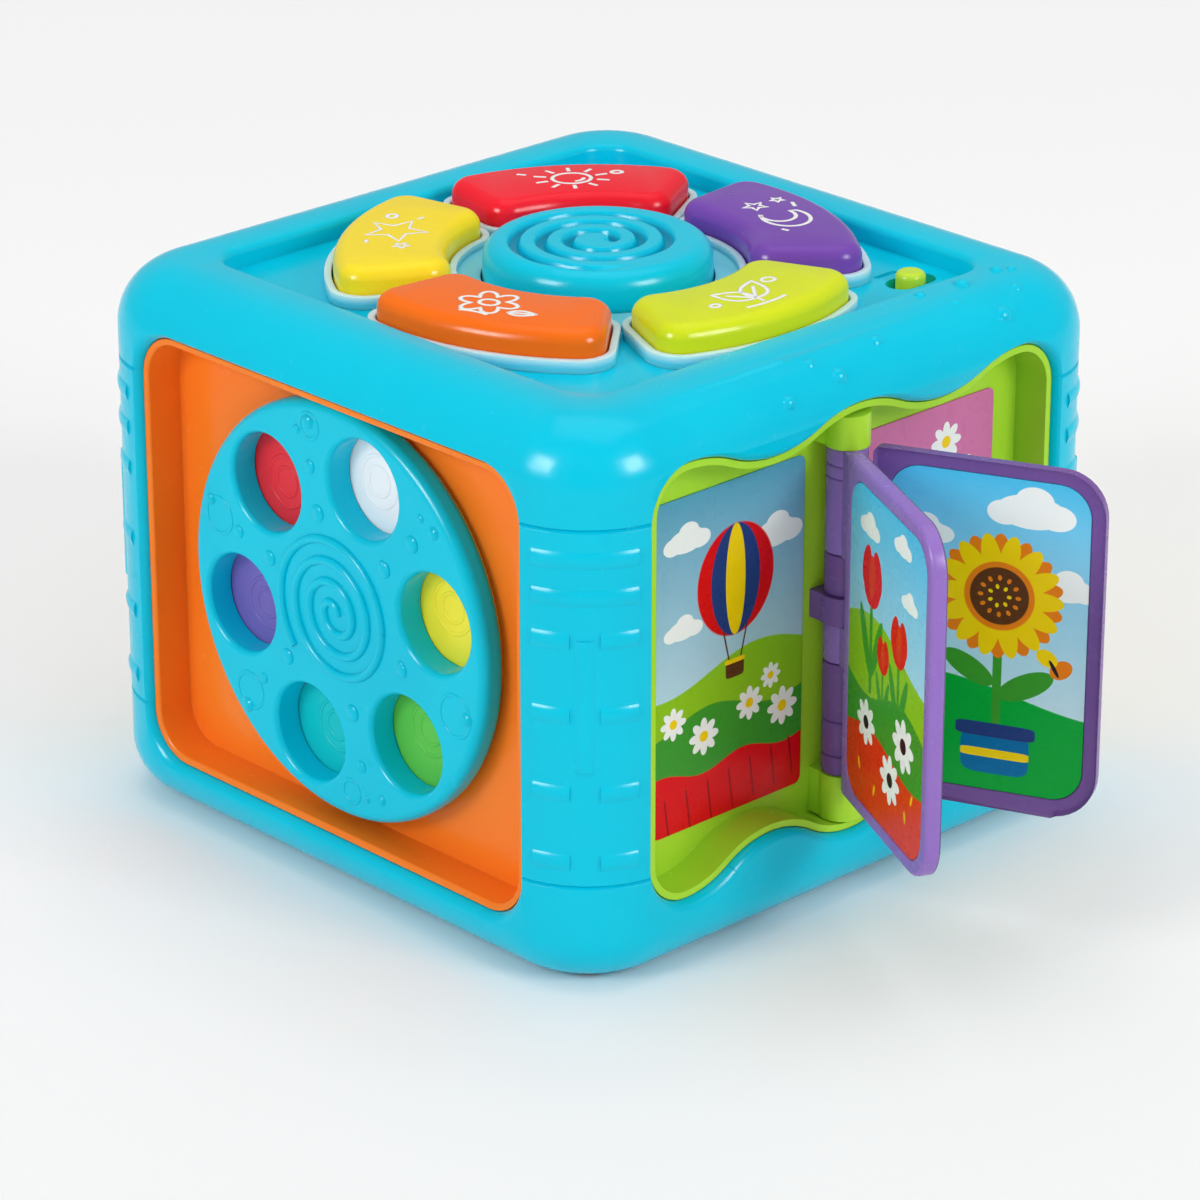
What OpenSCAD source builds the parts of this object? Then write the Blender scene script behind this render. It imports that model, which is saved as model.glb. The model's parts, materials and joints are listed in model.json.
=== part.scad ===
// Activity cube: light buttons on top, a peep-hole wheel, a book of swinging pages, gears and rollers.
// Millimetres, Z up, origin in the middle of the underside, wheel face toward -Y, book face toward +X.

/* [Body] */
// Width across two opposite faces
body_w = 180; // [160:1:220]
// Height from the underside to the rim of the top tray
body_h = 139; // [130:1:170]
// Radius of the upright corners seen from above
corner_r = 25; // [22:0.5:30]
// Radius of the rounded top edge
top_edge_r = 16; // [12:0.5:18]
// Radius of the rounded bottom edge
base_edge_r = 14; // [8:0.5:16]
// Wall of the moulded housing
wall = 3; // [2:0.1:4]
// Height of the top cover, from the rim down to its seam
seam_hi = 23.6; // [21:0.1:34]
// Height of the seam over the base cover
seam_lo = 27.3; // [22:0.1:35]
// Radius of the rounded ribs on the corner posts
rib_r = 4; // [1.5:0.1:5]
// How far the ribs stand out
rib_up = 0.6; // [0.3:0.05:1.2]
// Width of the groove that shows at a seam
seam_groove = 0.7; // [0.2:0.1:1.2]

/* [Side openings] */
// Width of the housing beside each side opening
open_hw = 22.7; // [20:0.1:30]
// Lower edge of the plain openings
open_lo = 14; // [12:0.5:20]
// Height of the housing over the plain openings
open_hi = 13; // [12:0.5:19]
// Corner radius of the openings
open_r = 12; // [8:0.5:16]
// Radius of the rolled lip round each opening
lip_r = 3; // [1:0.1:4]
// Height of the housing over the upper crests of the wavy opening
wave_hi = 12.6; // [12:0.1:19]
// Lower crest of the wavy opening of the book side
wave_lo = 17.3; // [14:0.1:22]
// Half height of the upper wave
wave_top = 3; // [1:0.1:5]
// Half height of the lower wave
wave_low = 4; // [1:0.1:5]

/* [Side panels] */
// Depth of the panel floors behind the face
recess = 12; // [8:0.5:16]
// Depth of the roller panel floor behind the face
deep_recess = 20; // [16:0.5:24]
// Thickness of a panel floor
panel_t = 2.2; // [1.5:0.1:3]
// Width of the bead that shows inside the lip
bead_w = 1.7; // [1:0.1:3]
// Depth of the bead behind the face
bead_set = 2.2; // [1:0.1:4]
// Rounding of the bead
bead_r = 0.8; // [0.3:0.05:0.9]
// Play between a panel and its opening
panel_gap = 0.25; // [0.1:0.05:0.6]
// How far the panel flange reaches behind the wall
flange_w = 2.5; // [1:0.1:4]
// Thickness of the panel flange
flange_t = 2; // [1:0.1:3]

/* [Top tray and buttons] */
// Width of the rim beside the tray
tray_hw = 23.5; // [21:0.5:28]
// Corner radius of the tray
tray_r = 9; // [4:0.5:15]
// Depth of the tray
tray_d = 5; // [2:0.5:8]
// Thickness of the tray floor
tray_t = 2.5; // [1.5:0.1:4]
// Inner radius of the ring of buttons
button_in = 36.5; // [34:0.5:40]
// Space between the ring of buttons and the tray wall
button_out = 2.5; // [2.2:0.1:8]
// Half of the angle between the corners of two neighbouring buttons
button_half = 12; // [11:0.5:22]
// Corner radius of a button
button_c = 6.5; // [5:0.5:10]
// Height of the button tops above the tray floor
button_rise = 9.5; // [6:0.5:12]
// Size of the rounded edge of a button
button_edge = 4; // [1:0.1:4.5]
// Wall of a button
button_wall = 2.4; // [1.5:0.1:4]
// Press of a button
press = 2; // [0.5:0.1:3]
// Radius of the middle button
hub_r = 28; // [24:0.5:29]
// Height of the middle button above the tray floor
hub_rise = 9.5; // [6:0.5:12]
// Radius of the round swirl ridge on the middle button
swirl_r = 2.6; // [1:0.1:3]
// How far the middle of the swirl ridge lies under the top
swirl_sink = 1.3; // [0.2:0.1:2]
// Growth of the swirl for each half turn
swirl_step = 3.2; // [2.5:0.1:4]
// Width of the clear rim round a button
rim_w = 1.7; // [1:0.1:4]
// Height of the clear rim above the tray floor
rim_up = 3.2; // [2:0.1:5]
// Play round a button
button_gap = 0.5; // [0.2:0.05:1]

/* [Power slider] */
// Distance of the slider from the tray wall of the book side
slider_x = 13.5; // [10:0.5:18]
// Distance of the slider from the tray wall of the gear side
slider_y = 12.5; // [10:0.5:18]
// Radius of the slider knob
knob_r = 3.7; // [2.5:0.1:4]
// Height of the slider knob above the tray floor
knob_up = 2.8; // [1:0.1:5]
// Slide to each side of the middle
slide = 2.8; // [1:0.1:4]

/* [Wheel] */
// Space between the wheel and its panel, at half the opening's height
wheel_r = 1.75; // [1.5:0.05:8]
// Height of the wheel axle over the middle of its opening
wheel_z = 1.2; // [-1.2:0.1:1.2]
// Thickness of the wheel
wheel_t = 7; // [4:0.5:8]
// Distance from the wheel's edge to the middle of a peep hole
hole_ring = 16.5; // [15:0.5:20]
// Radius of a peep hole
hole_r = 12.3; // [8:0.1:13]
// Turn of the first peep hole
hole_turn = 133; // [0:1:359]
// Turn of a colour pad's edge behind its peep hole
pad_turn = 20; // [0:1:60]
// Radius of the wheel stem
stem_r = 4; // [3:0.1:6]

/* [Book] */
// Distance of the page hinge behind the face
hinge_d = 5.7; // [5:0.1:8]
// Radius of the hinge rod
rod_r = 2; // [1.5:0.1:2.5]
// Radius of the page knuckles
knuckle_r = 5; // [4:0.1:5.5]
// Space between a page's free edge and the side of the opening
page_l = 4.3; // [3.8:0.1:16]
// Thickness of a page
page_t = 2.6; // [2.2:0.1:4.7]
// Lower edge of the pages
page_lo = 28.7; // [28:0.1:40]
// Distance of the pages' upper edge under the rim
page_hi = 23.3; // [22:0.1:40]
// Width of the page border
page_edge = 3.6; // [2:0.1:6]
// Turn of the near page from straight out
near_turn = -26; // [-89:1:-1]
// Turn of the far page from straight out
far_turn = 25; // [1:1:89]
// Thickness of a picture card
card_t = 0.4; // [0.2:0.1:0.5]
// Depth of a picture pocket
pocket_d = 0.6; // [0.5:0.1:0.9]

/* [Gears and rollers] */
// Pitch radius of a gear
gear_r = 20; // [16:0.5:22]
// Teeth of a gear
gear_n = 10; // [8:1:12]
// Half depth of a gear tooth
tooth_a = 3; // [2:0.1:3.2]
// Play between two gears
gear_play = 0.3; // [0.2:0.05:0.8]
// Sideways step between gear centres
gear_dx = 34; // [28:0.5:36]
// Thickness of a gear
gear_t = 6.5; // [4:0.5:7]
// Radius of a roller
roller_r = 8.5; // [6:0.1:9]
// Space between a roller's end and the side of the opening
roller_h = 5.3; // [4.6:0.1:20]
// Height step between the rollers
roller_step = 28; // [20:0.5:32]

/* [Inside] */
// Distance of the housing screws from the faces
boss_at = 16.5; // [15:0.1:18]
// Radius of the screw bosses
boss_r = 4.5; // [3.5:0.1:5]
// Radius of a screw shank
screw_r = 1.5; // [1:0.1:2]
// Radius of a battery
cell_r = 7.1; // [5:0.1:8]
// Length of a battery without its nub
cell_l = 49; // [40:0.5:52]
// Space between the circuit board and the tray wall
board_r = 2.5; // [1.5:0.1:6]
// Radius of the speaker
speaker_r = 19; // [14:0.5:20]

/* [Hidden] */
$fa = 4;
$fs = 0.6;
hw = body_w / 2;
eps = 0.01;
nip = 0.04;
arc_lap = 0.02;
open_x = hw - open_hw;
open_z = body_h - open_hi;
seam_z = body_h - seam_hi;
wave_z = body_h - wave_hi;
wave_p = open_x - open_r;
boss_x = hw - boss_at;
rim_in = panel_gap + bead_w;
tray_x = hw - tray_hw;
tray_z = body_h - tray_d;
tray_under = tray_z - tray_t;
button_top = tray_z + button_rise;
hub_top = tray_z + hub_rise;
foot_z = tray_under - 0.1;
foot_t = 1.5;
board_z = tray_under - 9.9;
board_t = 1.6;
board_rad = tray_x - board_r;
button_step = 72;
button_arc = button_step / 2 - button_half;
ring_out = tray_x - button_out;
peg_ring = button_in + 6.5;
lamp_ring = (peg_ring + ring_out + 1) / 2;
post_ring = ring_out - 5.5;
knob_x = tray_x - slider_x;
knob_y = tray_x - slider_y;
lens_x = knob_x + 7.1;
lens_y = knob_y - 8;
hinge_x = hw - hinge_d;
page_gap = 0.2;
page_in = 6.6;
page_end = open_x - page_l;
page_z = body_h - page_hi;
knuckle_gap = 0.1;
cap_lo = page_lo + 3.1;
cap_hi = page_z - 0.5;
cap_play = 0.9;
spine_mid = (cap_lo + cap_hi) / 2;
collar_lo = spine_mid - 2.5;
collar_hi = spine_mid + 4.5;
knuckle_lo = spine_mid - 12.7;
knuckle_hi = spine_mid + 15;
picture_in = 8;
picture_out = 10.3;
mid_z = (open_lo + open_z) / 2;
wheel_rad = (open_z - open_lo) / 2 - rim_in - wheel_r;
axle_z = mid_z + wheel_z;
hole_circle = wheel_rad - hole_ring;
roller_half = open_x - roller_h;
gear_dy = sqrt(4 * gear_r * gear_r - gear_dx * gear_dx);
gear_line = atan2(gear_dy, gear_dx);
gear_half = 180 / gear_n;
gear_mid_turn = -2 * gear_line - gear_half;
gear_far_turn = 2 * gear_line - gear_mid_turn - gear_half;
box_x = 26;
box_y = 30.5;
box_at = 36;
box_h = 20;
contact_y = cell_l / 2 - 0.5;
cyan = [0, 0.77, 0.88];
orange = [1, 0.47, 0.16];
lime = [0.61, 0.8, 0.24];
violet = [0.45, 0.3, 0.63];
red = [0.9, 0.14, 0.2];
yellow = [1, 0.86, 0.16];
clear = [0.92, 0.95, 0.97];
steel = [0.7, 0.71, 0.73];
dark = [0.16, 0.17, 0.18];

// Rounded rectangle with round corners kept as circles
module rrect(hx, y0, y1, r) {
    translate([-hx, y0 + r])
        square([2 * hx, y1 - y0 - 2 * r]);
    translate([-hx + r, y0])
        square([2 * hx - 2 * r, y1 - y0]);
    for (sx = [-1, 1])
        for (y = [y0 + r, y1 - r])
            translate([sx * (hx - r), y])
                circle(r);
}

// Section of the body with both upper edges rounded
module edge_profile(half, h, e) {
    intersection() {
        union() {
            translate([-half, 0])
                square([2 * half, h - e]);
            translate([-half + e, 0])
                square([2 * half - 2 * e, h]);
            for (s = [-1, 1])
                translate([s * (half - e), h - e])
                    circle(e);
        }
        translate([-half, 0])
            square([2 * half, h]);
    }
}

// Block with round upright corners and a rounded top edge
module rounded_block(w, h, r, e) {
    run = w - 2 * r;
    for (turn = [0, 90])
        rotate([0, 0, turn])
            translate([0, run / 2, 0])
                rotate([90, 0, 0])
                    linear_extrude(run)
                        edge_profile(w / 2, h, e);
    for (sx = [-1, 1])
        for (sy = [-1, 1])
            translate([sx * run / 2, sy * run / 2, 0])
                rotate_extrude()
                    intersection() {
                        edge_profile(r, h, e);
                        square([r, h]);
                    }
}

// Sweeps a section round a rounded rectangle; the section's x points outward
module ring_sweep(hx, hy, r) {
    for (k = [0 : 3])
        rotate(90 * k) {
            a = k % 2 == 0 ? hx : hy;
            b = k % 2 == 0 ? hy : hx;
            translate([a, b - r, 0])
                rotate([90, 0, 0])
                    linear_extrude(2 * (b - r))
                        children();
            translate([a - r, b - r, 0])
                rotate_extrude(angle = 90)
                    translate([r, 0])
                        children();
        }
}

// Section that rounds an edge: the corner stands at the origin, material lies right and below
module round_cut(r) {
    difference() {
        translate([-0.5, -r])
            square([r + 0.5, r + 3]);
        translate([r - nip, nip - r])
            circle(r);
    }
}

// Radius and half angle of the arcs of a wave
function wave_rad(amp) = (wave_p * wave_p / 16 + amp * amp) / (2 * amp);
function wave_ang(amp) = asin(wave_p / 4 / wave_rad(amp));

// The bump that a wave pushes into the opening, from one crest to the next
module wave_bump(y, amp, d) {
    rr = wave_rad(amp);
    low = [wave_p / 2, y - 2 * amp + rr];
    difference() {
        translate([0, y - rr])
            square([wave_p, rr + 5]);
        for (x = [0, wave_p])
            translate([x, y - rr])
                circle(rr - d);
        difference() {
            polygon([[0, y - rr], [wave_p, y - rr], low]);
            translate(low)
                circle(rr + d);
        }
    }
}

// Outline of the wavy opening, drawn in by d
module wave_rect(d) {
    difference() {
        rrect(open_x - d, wave_lo + d, wave_z - d, open_r - d);
        for (s = [0, 1])
            mirror([s, 0]) {
                wave_bump(wave_z, wave_top, d);
                translate([0, 2 * wave_lo])
                    mirror([0, 1])
                        wave_bump(wave_lo, wave_low, d);
            }
    }
}

// Sweeps a section along one half of a wavy edge, from beside the middle crest to the corner
module wave_half(y, amp) {
    rr = wave_rad(amp);
    ang = wave_ang(amp);
    translate([wave_p / 2, y - 2 * amp + rr, 0])
        rotate(270 - ang)
            rotate_extrude(angle = 2 * ang)
                translate([rr, 0])
                    mirror([1, 0])
                        children();
    translate([wave_p, y - rr, 0])
        rotate(90)
            rotate_extrude(angle = ang)
                translate([rr, 0])
                    children();
    translate([wave_p, y - open_r, 0])
        rotate_extrude(angle = 90)
            translate([open_r, 0])
                children();
}

// Sweeps a section along the middle crest of a wavy edge
module wave_crest(y, amp) {
    translate([0, y - wave_rad(amp), 0])
        rotate(90 - wave_ang(amp))
            rotate_extrude(angle = 2 * wave_ang(amp))
                translate([wave_rad(amp), 0])
                    children();
}

// Sweeps a section round the whole wavy opening
module wave_sweep() {
    wave_crest(wave_z, wave_top)
        children();
    translate([0, 2 * wave_lo, 0])
        mirror([0, 1, 0])
            wave_crest(wave_lo, wave_low)
                children();
    for (s = [0, 1])
        mirror([s, 0, 0]) {
            wave_half(wave_z, wave_top)
                children();
            translate([0, 2 * wave_lo, 0])
                mirror([0, 1, 0])
                    wave_half(wave_lo, wave_low)
                        children();
            translate([open_x, wave_z - open_r, 0])
                rotate([90, 0, 0])
                    linear_extrude(wave_z - wave_lo - 2 * open_r)
                        children();
        }
}

// Face frame of side k: x across, y is the height, z points out of the face
module face(k) {
    rotate([0, 0, 90 * k])
        translate([0, -hw, 0])
            rotate([90, 0, 0])
                children();
}

// Outline of the opening of side k, drawn in by d; side 1 is the book
module outline(k, d) {
    if (k == 1)
        wave_rect(d);
    else
        rrect(open_x - d, open_lo + d, open_z - d, open_r - d);
}

// Sweeps a section round the opening of side k
module opening_sweep(k) {
    if (k == 1)
        wave_sweep()
            children();
    else
        translate([0, mid_z, 0])
            ring_sweep(open_x, (open_z - open_lo) / 2, open_r)
                children();
}

// Everything a side panel takes out of the housing
module side_cut(k) {
    face(k) {
        translate([0, 0, -10])
            linear_extrude(16)
                outline(k, 0);
        translate([0, 0, -10])
            linear_extrude(10 - wall - 0.1)
                outline(k, -flange_w - 0.3);
        opening_sweep(k)
            round_cut(lip_r);
    }
}

// Groove along a seam at height z
module seam_cut(z) {
    translate([0, 0, z])
        ring_sweep(hw, hw, corner_r)
            polygon([[0.2, -seam_groove], [0.2, seam_groove], [-seam_groove, 0]]);
}

// Puts a child at the four corners
module corners() {
    for (k = [0 : 3])
        rotate([0, 0, 90 * k])
            children();
}

// Outline of one button, grown by d, in the +X direction
module button_outline(d) {
    lap = d > 0 ? arc_lap : 0;
    intersection() {
        difference() {
            circle(ring_out + d);
            circle(button_in - d);
        }
        polygon([
            [0, 0],
            [hw, -hw * tan(button_arc)],
            [hw, hw * tan(button_arc)]
        ]);
    }
    for (s = [-1, 1])
        rotate(s * button_arc) {
            for (x = [button_in + button_c - lap, ring_out - button_c + lap])
                translate([x, 0])
                    circle(button_c + d);
            translate([button_in + button_c, s > 0 ? -1 : -button_c - d])
                square([ring_out - button_in - 2 * button_c, button_c + d + 1]);
        }
}

// Sweeps a section round a button; the section's x points outward
module button_sweep() {
    a = button_arc;
    rotate(-a)
        rotate_extrude(angle = 2 * a)
            translate([ring_out, 0])
                children();
    rotate(-a)
        rotate_extrude(angle = 2 * a)
            translate([button_in, 0])
                mirror([1, 0])
                    children();
    for (s = [0, 1])
        mirror([0, s, 0])
            rotate(a) {
                translate([ring_out - button_c, 0, 0])
                    rotate_extrude(angle = 90)
                        translate([button_c, 0])
                            children();
                translate([button_in + button_c, 0, 0])
                    rotate(90)
                        rotate_extrude(angle = 90)
                            translate([button_c, 0])
                                children();
                translate([button_in + button_c, button_c, 0])
                    rotate([90, 0, 90])
                        linear_extrude(ring_out - button_in - 2 * button_c)
                            children();
            }
}

// Button shell with a retaining foot and a peg over its switch
module button(k) {
    rotate([0, 0, button_step * k])
        difference() {
            union() {
                difference() {
                    union() {
                        translate([0, 0, foot_z - foot_t])
                            linear_extrude(button_top - foot_z + foot_t)
                                button_outline(0);
                        translate([0, 0, foot_z - foot_t])
                            linear_extrude(foot_t)
                                button_outline(1.6);
                    }
                    translate([0, 0, foot_z - foot_t - 1])
                        linear_extrude(button_top - button_wall - foot_z + foot_t + 1)
                            button_outline(-button_wall);
                }
                translate([peg_ring, 0, foot_z - foot_t - 0.7])
                    cylinder(r = 3, h = button_top - 1 - foot_z + foot_t + 0.7);
            }
            translate([0, 0, button_top])
                button_sweep()
                    mirror([1, 0])
                        round_cut(button_edge);
        }
}

// Spiral ridge of half rings that grow by one step each
module spiral(turns, first, step, tube) {
    for (i = [0 : turns - 1])
        translate([i % 2 == 0 ? 0 : step, 0, 0])
            rotate(i % 2 == 0 ? 0 : 180)
                rotate_extrude(angle = 180)
                    translate([first + i * step, 0])
                        circle(tube);
}

// Screw with a flat head, standing on its head at the origin
module screw(r, len, head_r, head_t) {
    cylinder(r = head_r, h = head_t);
    cylinder(r = r, h = len);
}

module top_cover() {
    color(cyan)
        difference() {
            union() {
                difference() {
                    translate([0, 0, seam_z])
                        rounded_block(body_w, body_h - seam_z, corner_r, top_edge_r);
                    difference() {
                        translate([0, 0, seam_z - 1])
                            rounded_block(body_w - 2 * wall, body_h - seam_z + 1 - wall,
                                corner_r - wall, top_edge_r - wall);
                        translate([0, 0, tray_under])
                            linear_extrude(20)
                                rrect(tray_x + 2.5, -tray_x - 2.5, tray_x + 2.5, tray_r + 2);
                    }
                }
                corners() {
                    translate([boss_x, boss_x, seam_z])
                        cylinder(r = boss_r, h = body_h - seam_z - 2);
                    translate([boss_x, boss_x, seam_z - 13])
                        cylinder(r = 2.4, h = 14);
                }
                for (k = [0 : 4])
                    rotate([0, 0, button_step * (k + 0.5)])
                        translate([post_ring, 0, board_z])
                            cylinder(r = 3, h = tray_under - board_z + 1);
                top_bubbles();
            }
            translate([0, 0, tray_z])
                linear_extrude(tray_d + 5)
                    rrect(tray_x, -tray_x, tray_x, tray_r);
            translate([0, 0, body_h])
                ring_sweep(tray_x, tray_x, tray_r)
                    round_cut(2);
            for (k = [0 : 4])
                rotate([0, 0, button_step * k])
                    translate([0, 0, tray_under - 5])
                        linear_extrude(tray_t + 6)
                            button_outline(button_gap);
            translate([0, 0, tray_under - 5])
                cylinder(r = hub_r + button_gap, h = tray_t + 6);
            translate([knob_x, knob_y, tray_under - 5])
                linear_extrude(tray_t + 6)
                    slot_outline(knob_r + 0.3, slide + 0.3);
            translate([lens_x, lens_y, tray_under - 5])
                cylinder(r = 1.2, h = tray_t + 6);
            for (k = [0 : 4])
                rotate([0, 0, button_step * (k + 0.5)])
                    translate([post_ring, 0, board_z - 1])
                        cylinder(r = 1.05, h = 8);
            for (k = [0 : 3])
                side_cut(k);
            seam_cut(seam_z);
            level_mark();
        }
}

// Outline of the slider slot
module slot_outline(r, half) {
    translate([-r, -half])
        square([2 * r, 2 * half]);
    for (s = [-1, 1])
        translate([0, s * half])
            circle(r);
}

// Raised bubbles on the rim beside the book
module top_bubbles() {
    for (b = [
        [18.8, 64.5, 0, 1.9], [16.7, 67.6, 0.1, 1.5], [10.4, 62, 1.7, 2.2],
        [17.3, 50.8, 0, 2.4], [18.9, 37.8, 0, 1.6], [11.6, 42.2, 1.3, 2],
        [5.9, 52.2, 4.3, 2.6], [9, 11.6, 2.2, 2.2], [8.9, -10.4, 2.3, 2],
        [11.6, -16.9, 1.3, 1.6], [5, -4.8, 5, 2.4], [3.5, -22.7, 6.6, 2]
    ])
        translate([hw - b[0], b[1], body_h - b[2] - b[3] * 0.45])
            sphere(b[3]);
}

// Bar sunk beside the slider
module level_mark() {
    translate([knob_x - 7.4, knob_y - 1, tray_z - 0.6])
        linear_extrude(2)
            slot_outline(0.8, 3);
}

module base_cover() {
    color(cyan)
        difference() {
            union() {
                difference() {
                    translate([0, 0, seam_lo])
                        mirror([0, 0, 1])
                            rounded_block(body_w, seam_lo, corner_r, base_edge_r);
                    translate([0, 0, seam_lo + 1])
                        mirror([0, 0, 1])
                            rounded_block(body_w - 2 * wall, seam_lo + 1 - wall,
                                corner_r - wall, base_edge_r - wall);
                }
                corners()
                    translate([boss_x, boss_x, wall - 1])
                        cylinder(r = boss_r, h = seam_lo - wall + 1);
            }
            corners() {
                translate([boss_x, boss_x, -1])
                    cylinder(r = screw_r + 0.2, h = seam_lo + 5);
                translate([boss_x, boss_x, -1])
                    cylinder(r = 3.7, h = 4);
            }
            translate([0, 0, -1])
                linear_extrude(wall + 2)
                    translate([0, box_at])
                        rrect(box_x - 1, 1 - box_y, box_y - 1, 3);
            for (k = [0 : 5])
                for (j = [1 : 2])
                    translate([6 * j * cos(60 * k + 30 * j), -46 + 6 * j * sin(60 * k + 30 * j), -1])
                        cylinder(r = 1.4, h = wall + 2);
            translate([0, -46, -1])
                cylinder(r = 1.4, h = wall + 2);
            for (k = [0 : 3])
                side_cut(k);
            seam_cut(seam_lo);
        }
}

// One rib round a post, between two angles
module rib(z, a0, a1) {
    translate([hw - corner_r, hw - corner_r, z])
        rotate(a0)
            rotate_extrude(angle = a1 - a0)
                translate([corner_r + rib_up - rib_r, 0])
                    circle(rib_r);
}

// Corner post with ribs, a screw boss and a web; drawn in the +X +Y corner
module post() {
    at = hw - corner_r;
    post_h = seam_z - seam_lo;
    difference() {
        union() {
            translate([0, 0, seam_lo])
                linear_extrude(post_h) {
                    intersection() {
                        difference() {
                            rrect(hw, -hw, hw, corner_r);
                            rrect(hw - wall, wall - hw, hw - wall, corner_r - wall);
                        }
                        translate([open_x - 1, open_x - 1])
                            square(hw);
                    }
                    translate([boss_x, boss_x])
                        circle(boss_r);
                    translate([boss_x, boss_x])
                        rotate(45)
                            translate([2, -1.2])
                                square([9, 2.4]);
                }
            for (f = [0.92, 0.816])
                rib(seam_lo + f * post_h, 16, 74);
            for (f = [0.698, 0.489, 0.268, 0.072])
                for (a = [16, 53])
                    rib(seam_lo + f * post_h, a, a + 21);
            translate([at, at, seam_lo + 0.33 * post_h])
                rotate(45)
                    translate([corner_r + rib_up - rib_r, 0, 0])
                        cylinder(r = rib_r, h = 0.37 * post_h);
        }
        translate([boss_x, boss_x, seam_lo - 1])
            cylinder(r = screw_r + 0.05, h = 22);
        translate([boss_x, boss_x, seam_z - 14])
            cylinder(r = 2.5, h = 16);
        seam_cut(seam_lo);
        seam_cut(seam_z);
    }
}

// Corner post k places round from the +X +Y corner, trimmed for its panels
module placed_post(k) {
    color(cyan)
        difference() {
            rotate([0, 0, 90 * k])
                post();
            side_cut((k + 1) % 4);
            side_cut((k + 2) % 4);
        }
}

module post_right() {
    placed_post(0);
}

module post_back() {
    placed_post(1);
}

module post_left() {
    placed_post(2);
}

module post_near() {
    placed_post(3);
}

// Panel tray of side k, in the face frame; the rim inside the lip is rounded on the plain sides
module panel(k, depth) {
    difference() {
        union() {
            translate([0, 0, -depth - panel_t])
                linear_extrude(depth + panel_t - bead_set)
                    outline(k, panel_gap);
            translate([0, 0, -wall - 0.2 - flange_t])
                linear_extrude(flange_t)
                    outline(k, -flange_w);
        }
        translate([0, 0, -depth])
            linear_extrude(depth + 1)
                outline(k, rim_in);
        if (k != 1)
            opening_sweep(k)
                translate([-rim_in, -bead_set])
                    round_cut(bead_r);
    }
}

module wheel_panel() {
    color(orange)
        face(0)
            difference() {
                panel(0, recess);
                translate([0, axle_z, -recess - 5])
                    cylinder(r = stem_r + 0.2, h = 10);
            }
}

module book_panel() {
    color(lime)
        face(1)
            panel(1, recess);
}

module gear_panel() {
    color(yellow)
        face(2)
            difference() {
                union() {
                    panel(2, recess);
                    gear_places()
                        translate([0, 0, -recess - 0.5])
                            cylinder(r = 4, h = 7.7);
                }
                gear_places()
                    translate([0, 0, -recess - 0.2])
                        cylinder(r = 1.8, h = 9);
            }
}

module roller_panel() {
    color(violet)
        face(3)
            difference() {
                panel(3, deep_recess);
                for (i = [-1 : 1])
                    translate([-hw, mid_z + i * roller_step, roller_r + 1 - deep_recess])
                        rotate([0, 90, 0])
                            cylinder(r = 3.2, h = body_w);
            }
}

module light_bezel() {
    color(clear)
        translate([0, 0, tray_z])
            difference() {
                union() {
                    linear_extrude(1.4)
                        circle(button_in + 0.5);
                    linear_extrude(rim_up)
                        intersection() {
                            for (k = [0 : 4])
                                rotate(button_step * k)
                                    button_outline(button_gap + rim_w);
                            square(2 * tray_x - 0.6, center = true);
                        }
                }
                for (k = [0 : 4])
                    rotate(button_step * k)
                        translate([0, 0, -1])
                            linear_extrude(5)
                                button_outline(button_gap);
                translate([0, 0, -1])
                    cylinder(r = hub_r + button_gap, h = 5);
            }
}

module button_lime() {
    color([0.85, 0.88, 0.2])
        button(0);
}

module button_purple() {
    color(violet)
        button(1);
}

module button_red() {
    color(red)
        button(2);
}

module button_yellow() {
    color(yellow)
        button(3);
}

module button_orange() {
    color(orange)
        button(4);
}

module hub_button() {
    color(cyan) {
        difference() {
            translate([0, 0, foot_z - foot_t])
                rotate_extrude()
                    difference() {
                        union() {
                            intersection() {
                                edge_profile(hub_r, hub_top - foot_z + foot_t, 4);
                                square([hub_r, 30]);
                            }
                            square([hub_r + 1.6, foot_t]);
                        }
                        translate([-1, -1])
                            square([hub_r - button_wall + 1, hub_top - foot_z + foot_t - 2]);
                    }
        }
        translate([0, 0, foot_z - foot_t - 0.7])
            cylinder(r = 3, h = hub_top - foot_z + foot_t - 1);
        translate([-swirl_step / 2, 0, hub_top - swirl_sink]) {
            spiral(6, 3, swirl_step, swirl_r);
            for (x = [3, 3 + 6 * swirl_step])
                translate([x, 0, 0])
                    sphere(0.97 * swirl_r);
        }
    }
}

module power_slider() {
    color(lime)
        translate([knob_x, knob_y, 0]) {
            translate([0, 0, foot_z - foot_t])
                linear_extrude(foot_t)
                    rrect(knob_r + 1.3, -11, 11, 1.5);
            translate([0, 0, foot_z - foot_t])
                rotate_extrude()
                    intersection() {
                        edge_profile(knob_r, tray_z + knob_up - foot_z + foot_t, 1.6);
                        square([knob_r, 30]);
                    }
            translate([0, 0, board_z + 3.6])
                cylinder(r = 1.4, h = foot_z - foot_t - board_z - 3);
        }
}

module power_lens() {
    color([0.2, 0.8, 0.3])
        translate([lens_x, lens_y, tray_under]) {
            cylinder(r = 1.2, h = tray_t + 0.3);
            translate([0, 0, -1])
                cylinder(r = 1.7, h = 1);
        }
}

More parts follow.
